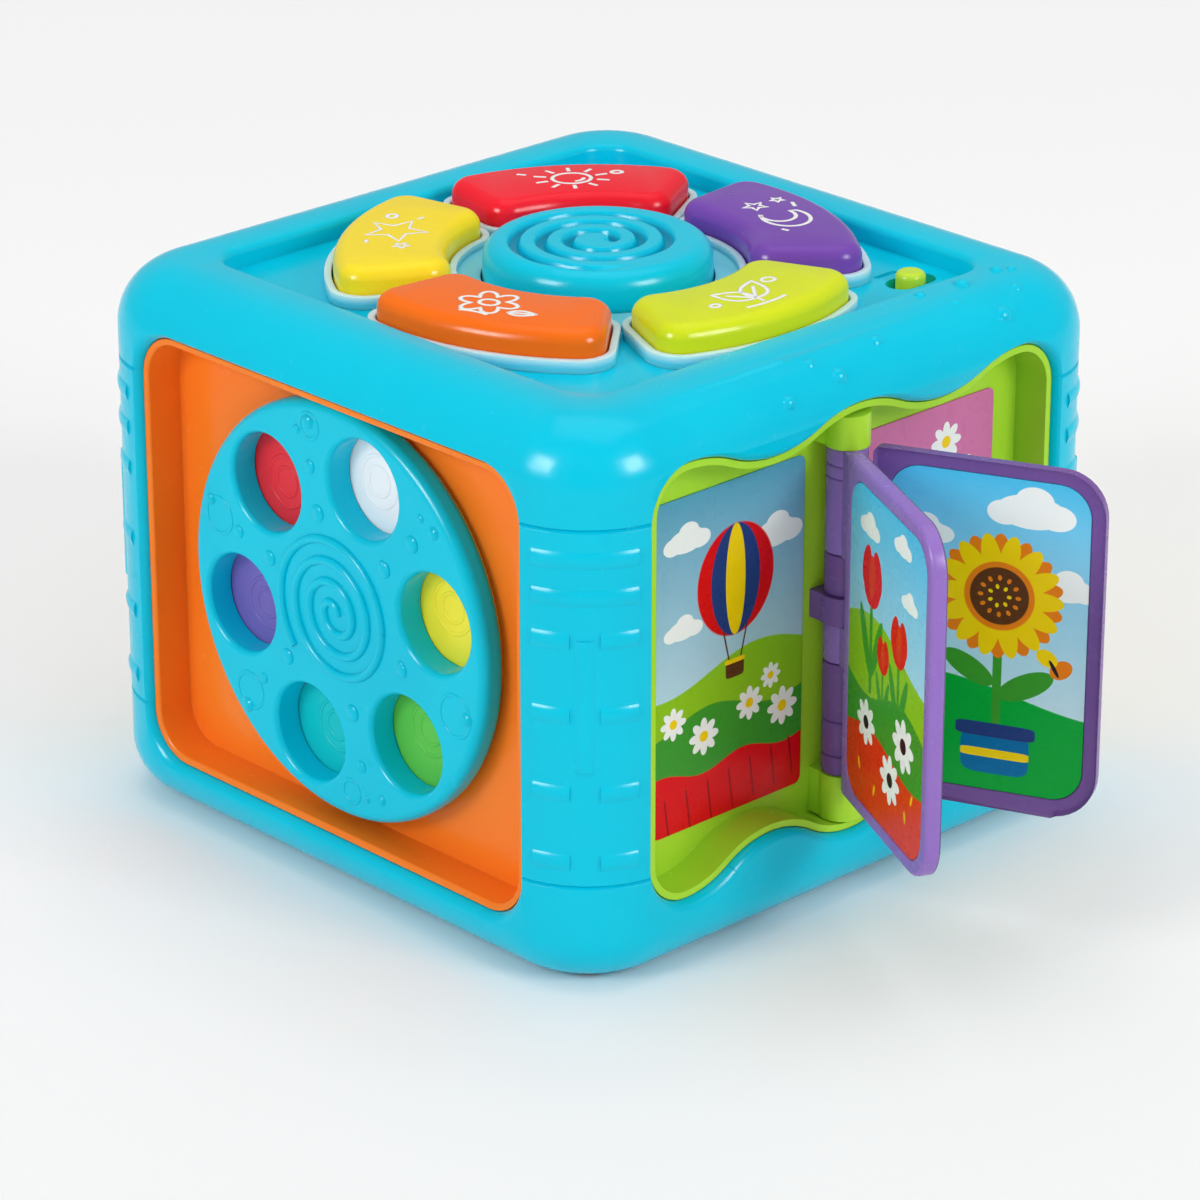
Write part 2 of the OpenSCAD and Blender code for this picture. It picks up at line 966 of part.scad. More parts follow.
module spin_wheel() {
    color(cyan)
        face(0)
            translate([0, axle_z, 0]) {
                difference() {
                    union() {
                        translate([0, 0, -4.2 - wheel_t])
                            rotate_extrude() {
                                square([wheel_rad - 2.5, wheel_t]);
                                translate([0, 2.5])
                                    square([wheel_rad, wheel_t - 5]);
                                for (y = [2.5, wheel_t - 2.5])
                                    translate([wheel_rad - 2.5, y])
                                        circle(2.5);
                            }
                        translate([0, 0, -recess - panel_t - 0.3])
                            cylinder(r = stem_r, h = 5);
                        wheel_bubbles();
                    }
                    for (k = [0 : 5])
                        rotate(hole_turn - 60 * k)
                            translate([hole_circle, 0, 0]) {
                                translate([0, 0, -20])
                                    cylinder(r = hole_r, h = 30);
                                translate([0, 0, -4.2])
                                    rotate_extrude()
                                        translate([hole_r, 0])
                                            round_cut(1.5);
                            }
                    translate([0, 0, -recess - 8])
                        cylinder(r = 1.2, h = 13);
                }
                translate([-1.3, 0, -4.2])
                    spiral(6, 2.5, 2.6, 1.1);
            }
}

// Raised bubbles scattered over the wheel face
module wheel_bubbles() {
    for (b = [
        [5.2, 100, 2.2], [7.2, 106, 1.4], [4.4, 160, 1.8], [5.2, 41, 2], [6.8, 47, 1.3], [4.4, 345, 2.1],
        [6.2, 290, 1.6], [4.8, 226, 2.2], [28, 105, 1.5], [27.6, 45, 1.8], [28, 346, 1.4],
        [27.6, 222, 1.7], [6.2, 283, 1.2], [28, 165, 1.3]
    ])
        rotate(b[1])
            translate([wheel_rad - b[0], 0, -4.2 - b[2] * 0.5])
                sphere(b[2]);
}

module wheel_washer() {
    color(steel)
        face(0)
            translate([0, axle_z, -recess - panel_t - 1.3])
                difference() {
                    cylinder(r = 7, h = 1);
                    translate([0, 0, -1])
                        cylinder(r = 1.3, h = 4);
                }
}

module wheel_screw() {
    color(steel)
        face(0)
            translate([0, axle_z, -recess - panel_t - 3.3])
                screw(1.2, 10, 3.2, 2);
}

// Coloured sector behind the wheel
module pad(k) {
    face(0)
        translate([0, axle_z, -recess])
            rotate(hole_turn - 60 * k - pad_turn)
                rotate_extrude(angle = 60)
                    translate([8, 0])
                        square([wheel_rad - 10.3, 0.5]);
}

module pad_red() {
    color(red)
        pad(0);
}

module pad_white() {
    color([0.95, 0.95, 0.93])
        pad(1);
}

module pad_yellow() {
    color(yellow)
        pad(2);
}

module pad_green() {
    color([0.3, 0.7, 0.27])
        pad(3);
}

module pad_teal() {
    color([0.1, 0.7, 0.7])
        pad(4);
}

module pad_purple() {
    color(violet)
        pad(5);
}

module spine_rod() {
    color(steel)
        translate([hinge_x, 0, cap_lo - 8])
            cylinder(r = rod_r, h = cap_hi - cap_lo + 14);
}

// End socket of the hinge rod, from z0 to z1
module spine_cap(z0, z1) {
    difference() {
        union() {
            translate([hinge_x, 0, z0])
                cylinder(r = 5.4, h = z1 - z0);
            translate([hw - recess, -4.6, z0])
                cube([recess - hinge_d, 9.2, z1 - z0]);
        }
        translate([hinge_x, 0, cap_lo - 8.1])
            cylinder(r = rod_r + 0.05, h = cap_hi - cap_lo + 14.2);
    }
}

module spine_cap_top() {
    color(lime)
        spine_cap(cap_hi, wave_z - rim_in - cap_play);
}

module spine_cap_low() {
    color(lime)
        spine_cap(wave_lo + rim_in + cap_play, cap_lo);
}

module spine_collar() {
    color(violet)
        difference() {
            union() {
                translate([hinge_x, 0, collar_lo])
                    cylinder(r = 6, h = collar_hi - collar_lo);
                translate([hw - recess, -5.4, collar_lo])
                    cube([recess - hinge_d, 10.8, collar_hi - collar_lo]);
            }
            translate([hinge_x, 0, collar_lo - 1])
                cylinder(r = rod_r + 0.05, h = 10);
        }
}

// Card on the floor of the book panel, on side s of the spine
module picture(s) {
    half = (open_x - picture_out - picture_in) / 2;
    translate([s * (picture_in + half), 0, -recess])
        linear_extrude(card_t)
            rrect(half, page_lo + 0.3, page_z - 2.7, 2);
}

module picture_left() {
    color([0.6, 0.85, 0.95])
        face(1)
            picture(-1);
}

module picture_right() {
    color([0.95, 0.75, 0.85])
        face(1)
            picture(1);
}

// Outline of a page card, in the page's own x and height
module card_outline(d) {
    mid = (page_in + page_end) / 2;
    half = (page_end - page_in) / 2 - page_edge;
    translate([mid, 0])
        rrect(half - d, page_lo + page_edge + d, page_z - page_edge - d, 8 - d);
}

// Moves from the page frame to the cube; the page runs along +X from the hinge
module on_hinge(turn) {
    translate([hinge_x, 0, 0])
        rotate([0, 0, turn])
            children();
}

// Page plate beside the hinge plane, s is the side it lies on, spans are its knuckles
module page(s, spans) {
    mirror([0, s > 0 ? 0 : 1, 0])
        difference() {
            union() {
                difference() {
                    translate([0, page_gap + page_t, 0])
                        rotate([90, 0, 0])
                            linear_extrude(page_t)
                                page_outline();
                    for (y = [page_gap + pocket_d, page_gap + page_t + 1])
                        translate([0, y, 0])
                            rotate([90, 0, 0])
                                linear_extrude(pocket_d + (y > page_t ? 1 : 0.5))
                                    card_outline(0);
                }
                for (z = spans) {
                    translate([0, 0, z[0] + knuckle_gap])
                        cylinder(r = knuckle_r, h = z[1] - z[0] - 2 * knuckle_gap);
                    translate([0, page_gap, z[0] + knuckle_gap])
                        cube([page_in + 1, page_t - 0.2, z[1] - z[0] - 2 * knuckle_gap]);
                }
            }
            translate([0, 0, -1])
                cylinder(r = rod_r + 0.1, h = body_h);
        }
}

// Outline of a page plate
module page_outline() {
    r = 11;
    translate([page_in, page_lo])
        square([page_end - page_in - r, page_z - page_lo]);
    translate([page_in, page_lo + r])
        square([page_end - page_in, page_z - page_lo - 2 * r]);
    for (z = [page_lo + r, page_z - r])
        translate([page_end - r, z])
            circle(r);
}

// Card in the pocket at page depth y, on side s of the hinge plane
module card(s, y) {
    mirror([0, s > 0 ? 0 : 1, 0])
        translate([0, y + card_t, 0])
            rotate([90, 0, 0])
                linear_extrude(card_t)
                    card_outline(0.15);
}

module page_near() {
    color(violet)
        on_hinge(near_turn)
            page(-1, [[knuckle_hi, cap_hi], [knuckle_lo, collar_lo]]);
}

module page_far() {
    color(violet)
        on_hinge(far_turn)
            page(1, [[collar_hi, knuckle_hi], [cap_lo, knuckle_lo]]);
}

module near_card_front() {
    color([0.98, 0.85, 0.5])
        on_hinge(near_turn)
            card(-1, page_gap + page_t - pocket_d);
}

module near_card_back() {
    color([0.6, 0.85, 0.95])
        on_hinge(near_turn)
            card(-1, page_gap + pocket_d - card_t);
}

module far_card_front() {
    color([0.7, 0.88, 0.6])
        on_hinge(far_turn)
            card(1, page_gap + pocket_d - card_t);
}

module far_card_back() {
    color([0.98, 0.8, 0.7])
        on_hinge(far_turn)
            card(1, page_gap + page_t - pocket_d);
}

// Radius of a gear at angle t from a tooth
function tooth(t) = let (c = cos(gear_n * t)) gear_r - gear_play + tooth_a * sign(c) * pow(abs(c), 0.8);

// Gear of wavy teeth with a bore
module gear(turn) {
    rotate(turn)
        translate([0, 0, -recess + 0.4])
            difference() {
                linear_extrude(gear_t)
                    polygon([for (i = [0 : 14 * gear_n - 1])
                        let (t = i * 360 / (14 * gear_n)) tooth(t) * [cos(t), sin(t)]]);
                translate([0, 0, -1])
                    cylinder(r = 4.2, h = gear_t + 2);
                for (k = [0 : 4])
                    rotate(72 * k)
                        translate([10.5, 0, -1])
                            cylinder(r = 3, h = gear_t + 2);
            }
}

// Puts a child at each gear place
module gear_places() {
    for (x = [-1 : 1])
        translate([x * gear_dx, mid_z + (x == 0 ? -0.5 : 0.5) * gear_dy, 0])
            children();
}

module gear_left() {
    color(red)
        face(2)
            translate([-gear_dx, mid_z + gear_dy / 2, 0])
                gear(0);
}

module gear_middle() {
    color(cyan)
        face(2)
            translate([0, mid_z - gear_dy / 2, 0])
                gear(gear_mid_turn);
}

module gear_right() {
    color(lime)
        face(2)
            translate([gear_dx, mid_z + gear_dy / 2, 0])
                gear(gear_far_turn);
}

module gear_caps() {
    color(orange)
        face(2)
            gear_places() {
                translate([0, 0, -4.8])
                    rotate_extrude()
                        intersection() {
                            edge_profile(6.5, 2.2, 1.2);
                            square([6.5, 3]);
                        }
                translate([0, 0, -recess + 1])
                    cylinder(r = 1.75, h = recess - 5);
            }
}

// Roller with rings and stub axles, its axis along the face
module roller(i, rings) {
    face(3)
        translate([0, mid_z + i * roller_step, roller_r + 1 - deep_recess])
            rotate([0, 90, 0])
                rotate_extrude() {
                    difference() {
                        translate([0, -roller_half])
                            square([roller_r, 2 * roller_half]);
                        for (j = [1 : rings])
                            translate([roller_r + 1, -roller_half + 2 * roller_half * j / (rings + 1)])
                                circle(2.6);
                    }
                    translate([0, -roller_half - 4.5])
                        square([3, 2 * roller_half + 9]);
                }
}

module roller_top() {
    color(red)
        roller(1, 9);
}

module roller_mid() {
    color(yellow)
        roller(0, 5);
}

module roller_low() {
    color(lime)
        roller(-1, 15);
}

module circuit_board() {
    color([0.1, 0.42, 0.25])
        difference() {
            translate([0, 0, board_z - board_t])
                linear_extrude(board_t) {
                    circle(board_rad);
                    translate([knob_x - 17, knob_y - 18])
                        square([24, 28]);
                }
            for (k = [0 : 4])
                rotate([0, 0, button_step * (k + 0.5)])
                    translate([post_ring, 0, board_z - board_t - 1])
                        cylinder(r = 1.2, h = 5);
        }
}

module switches() {
    color(dark)
        translate([0, 0, board_z]) {
            for (k = [0 : 4])
                rotate([0, 0, button_step * k])
                    translate([peg_ring, 0, 0])
                        key_switch();
            key_switch();
        }
}

// Small push switch on the board
module key_switch() {
    translate([-3, -3, 0])
        cube([6, 6, 4.3]);
    cylinder(r = 1.75, h = 5.4);
}

module leds() {
    color([0.95, 0.97, 1])
        for (k = [0 : 4])
            rotate([0, 0, button_step * k])
                translate([lamp_ring, 0, board_z]) {
                    cylinder(r = 2.5, h = 3);
                    translate([0, 0, 3])
                        sphere(2.5);
                }
}

module board_screws() {
    color(steel)
        for (k = [0 : 4])
            rotate([0, 0, button_step * (k + 0.5)])
                translate([post_ring, 0, board_z - board_t - 1.5])
                    screw(1, 8, 2.5, 1.5);
}

module slide_switch() {
    color(dark)
        translate([knob_x, knob_y, board_z])
            difference() {
                translate([-4, -8, 0])
                    cube([8, 16, 5.5]);
                translate([0, 0, 3])
                    linear_extrude(5)
                        slot_outline(1.6, slide + 0.3);
            }
}

module speaker() {
    color(dark)
        translate([0, -46, wall])
            rotate_extrude()
                polygon([
                    [0, 8], [4, 6], [speaker_r - 4, 0.6], [speaker_r - 2, 0], [speaker_r, 0],
                    [speaker_r, 2.5], [12, 10], [12, 17], [0, 17]
                ]);
}

module battery_box() {
    color(dark)
        translate([0, box_at, wall])
            difference() {
                union() {
                    difference() {
                        union() {
                            linear_extrude(box_h)
                                rrect(box_x, -box_y, box_y, 3);
                            linear_extrude(2)
                                rrect(box_x + 4, -box_y - 4, box_y + 4, 5);
                        }
                        translate([0, 0, -1])
                            linear_extrude(box_h - 1)
                                rrect(box_x - 2, 2 - box_y, box_y - 2, 2);
                    }
                    translate([1 - box_x, contact_y + 0.3, 0.5])
                        cube([2 * box_x - 2, 1.4, box_h - 1]);
                    translate([-2.5, contact_y + 1, 0.5])
                        cube([5, box_y - contact_y - 2, box_h - 1]);
                }
                translate([0, box_y - 4, 0])
                    cylinder(r = 1.05, h = 9);
            }
}

module batteries() {
    color([0.75, 0.6, 0.3])
        for (i = [-1 : 1])
            translate([15 * i, box_at - 2, wall + 7.6])
                rotate([i == 0 ? -90 : 90, 0, 0])
                    translate([0, 0, -cell_l / 2]) {
                        cylinder(r = cell_r, h = cell_l);
                        cylinder(r = 2.7, h = cell_l + 1.2);
                    }
}

module battery_contacts() {
    color(steel)
        for (i = [-1 : 1])
            for (s = [-1, 1])
                translate([15 * i, box_at - 2 + s * (contact_y + 2), wall + 7.6])
                    rotate([90, 0, 0])
                        translate([-5, -5, -0.25])
                            cube([10, 10, 0.5]);
}

module battery_door() {
    color(cyan)
        difference() {
            translate([0, box_at, 0.3])
                linear_extrude(wall - 0.4)
                    rrect(box_x - 1.3, 1.3 - box_y, box_y - 1.3, 2.7);
            translate([0, box_at + box_y - 4, -1])
                cylinder(r = 1.2, h = 8);
            translate([0, box_at + box_y - 4, -1])
                cylinder(r = 2.6, h = 2.7);
            for (i = [0 : 2])
                translate([-9, box_at - 18 + 4 * i, -0.5])
                    cube([18, 1.6, 1.2]);
        }
}

module door_screw() {
    color(steel)
        translate([0, box_at + box_y - 4, 0.6])
            screw(1, 8, 2.2, 1.1);
}

module housing_screws() {
    color(steel)
        corners()
            translate([boss_x, boss_x, 1])
                screw(screw_r, seam_lo + 16.7, 3.2, 1.9);
}

top_cover();
base_cover();
post_near();
post_right();
post_back();
post_left();
wheel_panel();
book_panel();
gear_panel();
roller_panel();
light_bezel();
button_lime();
button_purple();
button_red();
button_yellow();
button_orange();
hub_button();
power_slider();
power_lens();
spin_wheel();
wheel_washer();
wheel_screw();
pad_red();
pad_white();
pad_yellow();
pad_green();
pad_teal();
pad_purple();
spine_rod();
spine_cap_top();
spine_cap_low();
spine_collar();
picture_left();
picture_right();
page_near();
page_far();
near_card_front();
near_card_back();
far_card_front();
far_card_back();
gear_left();
gear_middle();
gear_right();
gear_caps();
roller_top();
roller_mid();
roller_low();
circuit_board();
switches();
leds();
board_screws();
slide_switch();
speaker();
battery_box();
batteries();
battery_contacts();
battery_door();
door_screw();
housing_screws();
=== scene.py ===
# %% [markdown]
# # A toy activity cube, dressed for its picture
# The cube is a glossy moulded housing with a peep-hole wheel, a picture book, gears, rollers and
# sprung buttons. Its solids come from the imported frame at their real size, so this lesson keeps each
# solid whose shape is right, gives it a finish, and models only what the solids lack.

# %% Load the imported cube
import json
import math

import bmesh
import bpy
from mathutils import Matrix, Vector


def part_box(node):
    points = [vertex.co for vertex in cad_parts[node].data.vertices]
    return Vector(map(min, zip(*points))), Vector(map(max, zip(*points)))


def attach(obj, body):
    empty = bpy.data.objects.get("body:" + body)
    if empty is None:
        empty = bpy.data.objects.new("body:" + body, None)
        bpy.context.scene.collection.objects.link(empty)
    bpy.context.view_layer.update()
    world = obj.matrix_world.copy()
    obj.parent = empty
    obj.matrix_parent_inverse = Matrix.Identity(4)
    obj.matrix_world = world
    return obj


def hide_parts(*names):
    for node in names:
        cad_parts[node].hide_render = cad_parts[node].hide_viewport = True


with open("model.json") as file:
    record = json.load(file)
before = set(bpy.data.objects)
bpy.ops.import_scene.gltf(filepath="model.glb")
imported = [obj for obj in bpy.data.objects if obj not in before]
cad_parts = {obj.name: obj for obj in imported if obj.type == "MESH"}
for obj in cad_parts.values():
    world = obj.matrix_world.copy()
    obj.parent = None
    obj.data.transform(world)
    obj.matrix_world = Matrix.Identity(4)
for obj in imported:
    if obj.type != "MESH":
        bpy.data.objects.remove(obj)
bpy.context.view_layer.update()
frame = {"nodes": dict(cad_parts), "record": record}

MM = 0.001
solids = frame["nodes"]

# %% [markdown]
# ## Camera
# The picture was taken from a little above the near corner with a long lens, so the edges hardly
# converge. An azimuth, a height angle and a distance say that more plainly than three raw
# coordinates, and the focal length follows from a size in picture pixels.

# %% Camera
CAMERA_AZIMUTH = math.radians(46.41)
CAMERA_HEIGHT = math.radians(22.92)
CAMERA_DISTANCE = 1266.07 * MM
AIM = Vector((0.33, 0.38, 49.71)) * MM
SENSOR_WIDTH = 36.0
PICTURE_PIXELS = 1200
FOCAL_PIXELS = 5090.4


def toward(azimuth, height):
    """The unit vector from the cube towards an azimuth and a height angle."""
    flat = math.cos(height)
    return Vector((math.sin(azimuth) * flat, -math.cos(azimuth) * flat, math.sin(height)))


lens = bpy.data.cameras.new("picture_camera")
lens.sensor_width = SENSOR_WIDTH
lens.lens = SENSOR_WIDTH * FOCAL_PIXELS / PICTURE_PIXELS
lens.clip_start, lens.clip_end = 0.01, 100.0
camera = bpy.data.objects.new("picture_camera", lens)
camera_back = toward(CAMERA_AZIMUTH, CAMERA_HEIGHT)
camera.location = AIM + camera_back * CAMERA_DISTANCE
camera.rotation_euler = (-camera_back).to_track_quat("-Z", "Y").to_euler()
scene = bpy.context.scene
scene.collection.objects.link(camera)
scene.camera = camera
scene.view_settings.view_transform = "Standard"
print(f"lens {lens.lens:.1f} mm at {CAMERA_DISTANCE:.3f} m")

# %% [markdown]
# ## Shader helpers
# A node tree in code soon becomes a wall of links. One helper that adds a node, sets it and fills its
# sockets with values or links keeps each material readable. A second one blends two colours, and a third
# one opens a node group.

# %% Node helpers


def wire(tree, kind, inputs=None, **settings):
    """Adds a node, sets its properties, and fills its inputs with values or links."""
    node = tree.nodes.new(kind)
    for key, value in settings.items():
        setattr(node, key, value)
    for socket, value in (inputs or {}).items():
        if isinstance(value, bpy.types.NodeSocket):
            tree.links.new(value, node.inputs[socket])
        else:
            node.inputs[socket].default_value = value
    return node


def blend(tree, share, first, second):
    """A colour that goes from the first to the second one with a share of 0 to 1."""
    mix = wire(tree, "ShaderNodeMix", {"Factor": share, "A": first, "B": second}, data_type="RGBA")
    return mix.outputs["Result"]


def open_group(name, inputs, outputs):
    """A shader group with named sockets, and its two end nodes."""
    tree = bpy.data.node_groups.new(name, "ShaderNodeTree")
    for label, kind in inputs:
        tree.interface.new_socket(label, in_out="INPUT", socket_type=kind)
    for label, kind in outputs:
        tree.interface.new_socket(label, in_out="OUTPUT", socket_type=kind)
    return tree, tree.nodes.new("NodeGroupInput"), tree.nodes.new("NodeGroupOutput")


def srgb(red, green, blue):
    """A colour read off a screen, 0 to 255, as the linear colour that a shader takes."""
    def linear(level):
        level /= 255
        return level / 12.92 if level <= 0.04045 else ((level + 0.055) / 1.055) ** 2.4
    return (linear(red), linear(green), linear(blue), 1.0)


FLOAT, VECTOR = "NodeSocketFloat", "NodeSocketVector"

# %% [markdown]
# ## Studio
# The picture has a pale sweep and broad soft light. Two boxes stand left and right of the camera,
# where their reflections fall on the rounded near corner, and a wide one hangs overhead. The floor
# catches the soft shadow, and rays that look past it see the same pale tone. Behind the cube the boxes
# light the paper less, so it is a little whiter there and the background stays even.

# %% Floor and sky
PALE = srgb(245, 244, 244)
SKY_LIGHT = 0.55
SKY_GLOSS = 0.4
FLOOR_REACH = 30.0
FLOOR_DROP = 0.05 * MM
FLOOR_FRONT, FLOOR_BACK, PALE_BACK = -0.25, 0.1, 0.985

bm = bmesh.new()
bmesh.ops.create_circle(bm, cap_ends=True, segments=64, radius=FLOOR_REACH)
bmesh.ops.translate(bm, verts=bm.verts, vec=(0, 0, -FLOOR_DROP))
floor_mesh = bpy.data.meshes.new("studio_floor")
bm.to_mesh(floor_mesh)
bm.free()
floor = bpy.data.objects.new("studio_floor", floor_mesh)
scene.collection.objects.link(floor)

paper = bpy.data.materials.new("studio_paper")
paper.use_nodes = True
tree = paper.node_tree
paper_shader = tree.nodes["Principled BSDF"]
spread = wire(tree, "ShaderNodeTexCoord")
depth = wire(tree, "ShaderNodeVectorMath", {
    0: spread.outputs["Object"], 1: -toward(CAMERA_AZIMUTH, 0.0)}, operation="DOT_PRODUCT")
tone = wire(tree, "ShaderNodeMapRange", {
    "Value": depth.outputs["Value"], "From Min": FLOOR_FRONT, "From Max": FLOOR_BACK,
    "To Min": PALE[0], "To Max": PALE_BACK}, interpolation_type="SMOOTHSTEP")
tree.links.new(tone.outputs[0], paper_shader.inputs["Base Color"])
paper_shader.inputs["Roughness"].default_value = 0.9
paper_shader.inputs["Specular IOR Level"].default_value = 0.0
floor_mesh.materials.append(paper)

sky = bpy.data.worlds.new("studio_sky")
sky.use_nodes = True
scene.world = sky
tree = sky.node_tree
backdrop = tree.nodes["Background"]
backdrop.inputs["Color"].default_value = (1, 1, 1, 1)
light_path = wire(tree, "ShaderNodeLightPath")
seen = wire(tree, "ShaderNodeMath", {
    0: light_path.outputs["Is Camera Ray"], 1: light_path.outputs["Is Transmission Ray"]},
    operation="MAXIMUM")
lit = wire(tree, "ShaderNodeMapRange", {
    "Value": light_path.outputs["Is Glossy Ray"], "To Min": SKY_LIGHT, "To Max": SKY_GLOSS})
level = wire(tree, "ShaderNodeMapRange", {
    "Value": seen.outputs[0], "To Min": lit.outputs[0], "To Max": PALE[0]})
tree.links.new(level.outputs[0], backdrop.inputs["Strength"])
print(f"sky lights at {SKY_LIGHT}, gleams at {SKY_GLOSS} and shows at {PALE[0]:.2f}")

# %% Soft boxes
# azimuth from the camera and height in degrees, distance and size in metres, light in watts, and
# whether the box only makes highlights
SOFT_BOXES = {
    "left_box": (-51, 28, 2.4, 0.8, 15.0, False),
    "right_box": (51, 28, 2.4, 0.8, 15.0, False),
    "top_box": (160, 80, 3.6, 3.0, 34.0, False),
    "left_catch": (-51, 28, 2.3, 0.85, 52.0, True),
    "right_catch": (51, 28, 2.3, 0.85, 46.0, True),
}
for name, (turn, height, distance, size, power, gleam_only) in SOFT_BOXES.items():
    lamp = bpy.data.lights.new(name, "AREA")
    lamp.shape = "SQUARE"
    lamp.size = size
    lamp.energy = power
    box = bpy.data.objects.new(name, lamp)
    side = toward(CAMERA_AZIMUTH + math.radians(turn), math.radians(height))
    box.location = AIM + side * distance
    box.rotation_euler = (-side).to_track_quat("-Z", "Y").to_euler()
    box.visible_camera = False
    box.visible_diffuse = not gleam_only
    scene.collection.objects.link(box)
    print(f"{name}: {power} W, {size} m wide at {distance} m")

# %% [markdown]
# ## Moulded plastic
# Nearly every piece is injection-moulded and glossy. Up close such a skin isn't a perfect mirror: it has
# a faint orange peel, the gloss drifts where the mould was warmer, and the pigment flows in slow
# clouds. One group gives those three, and each plastic sets how strong they are. No mould makes a knife
# edge either, so a bevel node rounds the edges' shading by a quarter of a millimetre.

# %% Moulded skin group
SCUFF_SCALE, FLOW_SCALE = 210.0, 22.0
tree, start, end = open_group(
    "moulded_skin",
    [("Vector", VECTOR), ("Peel Scale", FLOAT), ("Gloss Low", FLOAT), ("Gloss High", FLOAT)],
    [("Roughness", FLOAT), ("Height", FLOAT), ("Drift", FLOAT)],
)
peel = wire(tree, "ShaderNodeTexNoise", {
    "Vector": start.outputs["Vector"], "Scale": start.outputs["Peel Scale"],
    "Detail": 2.0, "Roughness": 0.45})
scuff = wire(tree, "ShaderNodeTexNoise", {
    "Vector": start.outputs["Vector"], "Scale": SCUFF_SCALE, "Detail": 5.0, "Roughness": 0.6})
gloss = wire(tree, "ShaderNodeMapRange", {
    "Value": scuff.outputs["Fac"], "From Min": 0.35, "From Max": 0.7,
    "To Min": start.outputs["Gloss Low"], "To Max": start.outputs["Gloss High"]})
flow = wire(tree, "ShaderNodeTexNoise", {
    "Vector": start.outputs["Vector"], "Scale": FLOW_SCALE, "Detail": 3.0, "Distortion": 0.8})
drift = wire(tree, "ShaderNodeMapRange", {"Value": flow.outputs["Fac"], "From Min": 0.3, "From Max": 0.7})
tree.links.new(gloss.outputs[0], end.inputs["Roughness"])
tree.links.new(peel.outputs["Fac"], end.inputs["Height"])
tree.links.new(drift.outputs[0], end.inputs["Drift"])
moulded_skin = tree
print(f"moulded skin: {len(tree.nodes)} nodes")

# %% Plastic
EASED_EDGE = 0.25 * MM
PEEL_DEPTH = 0.1 * MM
SCATTER_DEPTH = 1.5 * MM
# roughness ranges, and the orange peel's scale and strength
GLOSSY, SILKY, SATIN = (0.16, 0.28), (0.22, 0.3), (0.3, 0.42)
FINE_PEEL = (900.0, 0.06)


def plastic(name, colour, drifted, gloss=GLOSSY, peel=FINE_PEEL, shine=0.16, soft=0.0, clear=0.0, metal=0.0):
    """A moulded skin: its colour, the one it drifts to, its gloss, its peel, and how deep light goes."""
    material = bpy.data.materials.new(name)
    material.use_nodes = True
    tree = material.node_tree
    shader = tree.nodes["Principled BSDF"]
    spread = wire(tree, "ShaderNodeTexCoord")
    skin = wire(tree, "ShaderNodeGroup", node_tree=moulded_skin)
    tree.links.new(spread.outputs["Object"], skin.inputs["Vector"])
    skin.inputs["Peel Scale"].default_value = peel[0]
    skin.inputs["Gloss Low"].default_value, skin.inputs["Gloss High"].default_value = gloss
    eased = wire(tree, "ShaderNodeBevel", {"Radius": EASED_EDGE}, samples=4)
    bump = wire(tree, "ShaderNodeBump", {
        "Strength": peel[1], "Distance": PEEL_DEPTH,
        "Height": skin.outputs["Height"], "Normal": eased.outputs["Normal"]})
    tree.links.new(blend(tree, skin.outputs["Drift"], colour, drifted), shader.inputs["Base Color"])
    tree.links.new(skin.outputs["Roughness"], shader.inputs["Roughness"])
    tree.links.new(bump.outputs["Normal"], shader.inputs["Normal"])
    shader.inputs["Specular IOR Level"].default_value = shine
    if soft:
        shader.inputs["Subsurface Weight"].default_value = soft
        shader.inputs["Subsurface Radius"].default_value = (1.0, 1.0, 1.0)
        shader.inputs["Subsurface Scale"].default_value = SCATTER_DEPTH
    shader.inputs["Transmission Weight"].default_value = clear
    shader.inputs["Metallic"].default_value = metal
    return material


def refinish(node, material):
    """Gives one solid a finish of its own."""
    solids[node].data.materials.clear()
    solids[node].data.materials.append(material)


# %% [markdown]
# Each plastic is one row: its colour, the colour that it drifts to, and what sets it apart from the plain
# glossy skin. The record names the slot of each solid, so one loop dresses them all, and two solids then get
# a batch of their own: the wheel's recess is a lighter orange, and the slider's knob a yellower green.

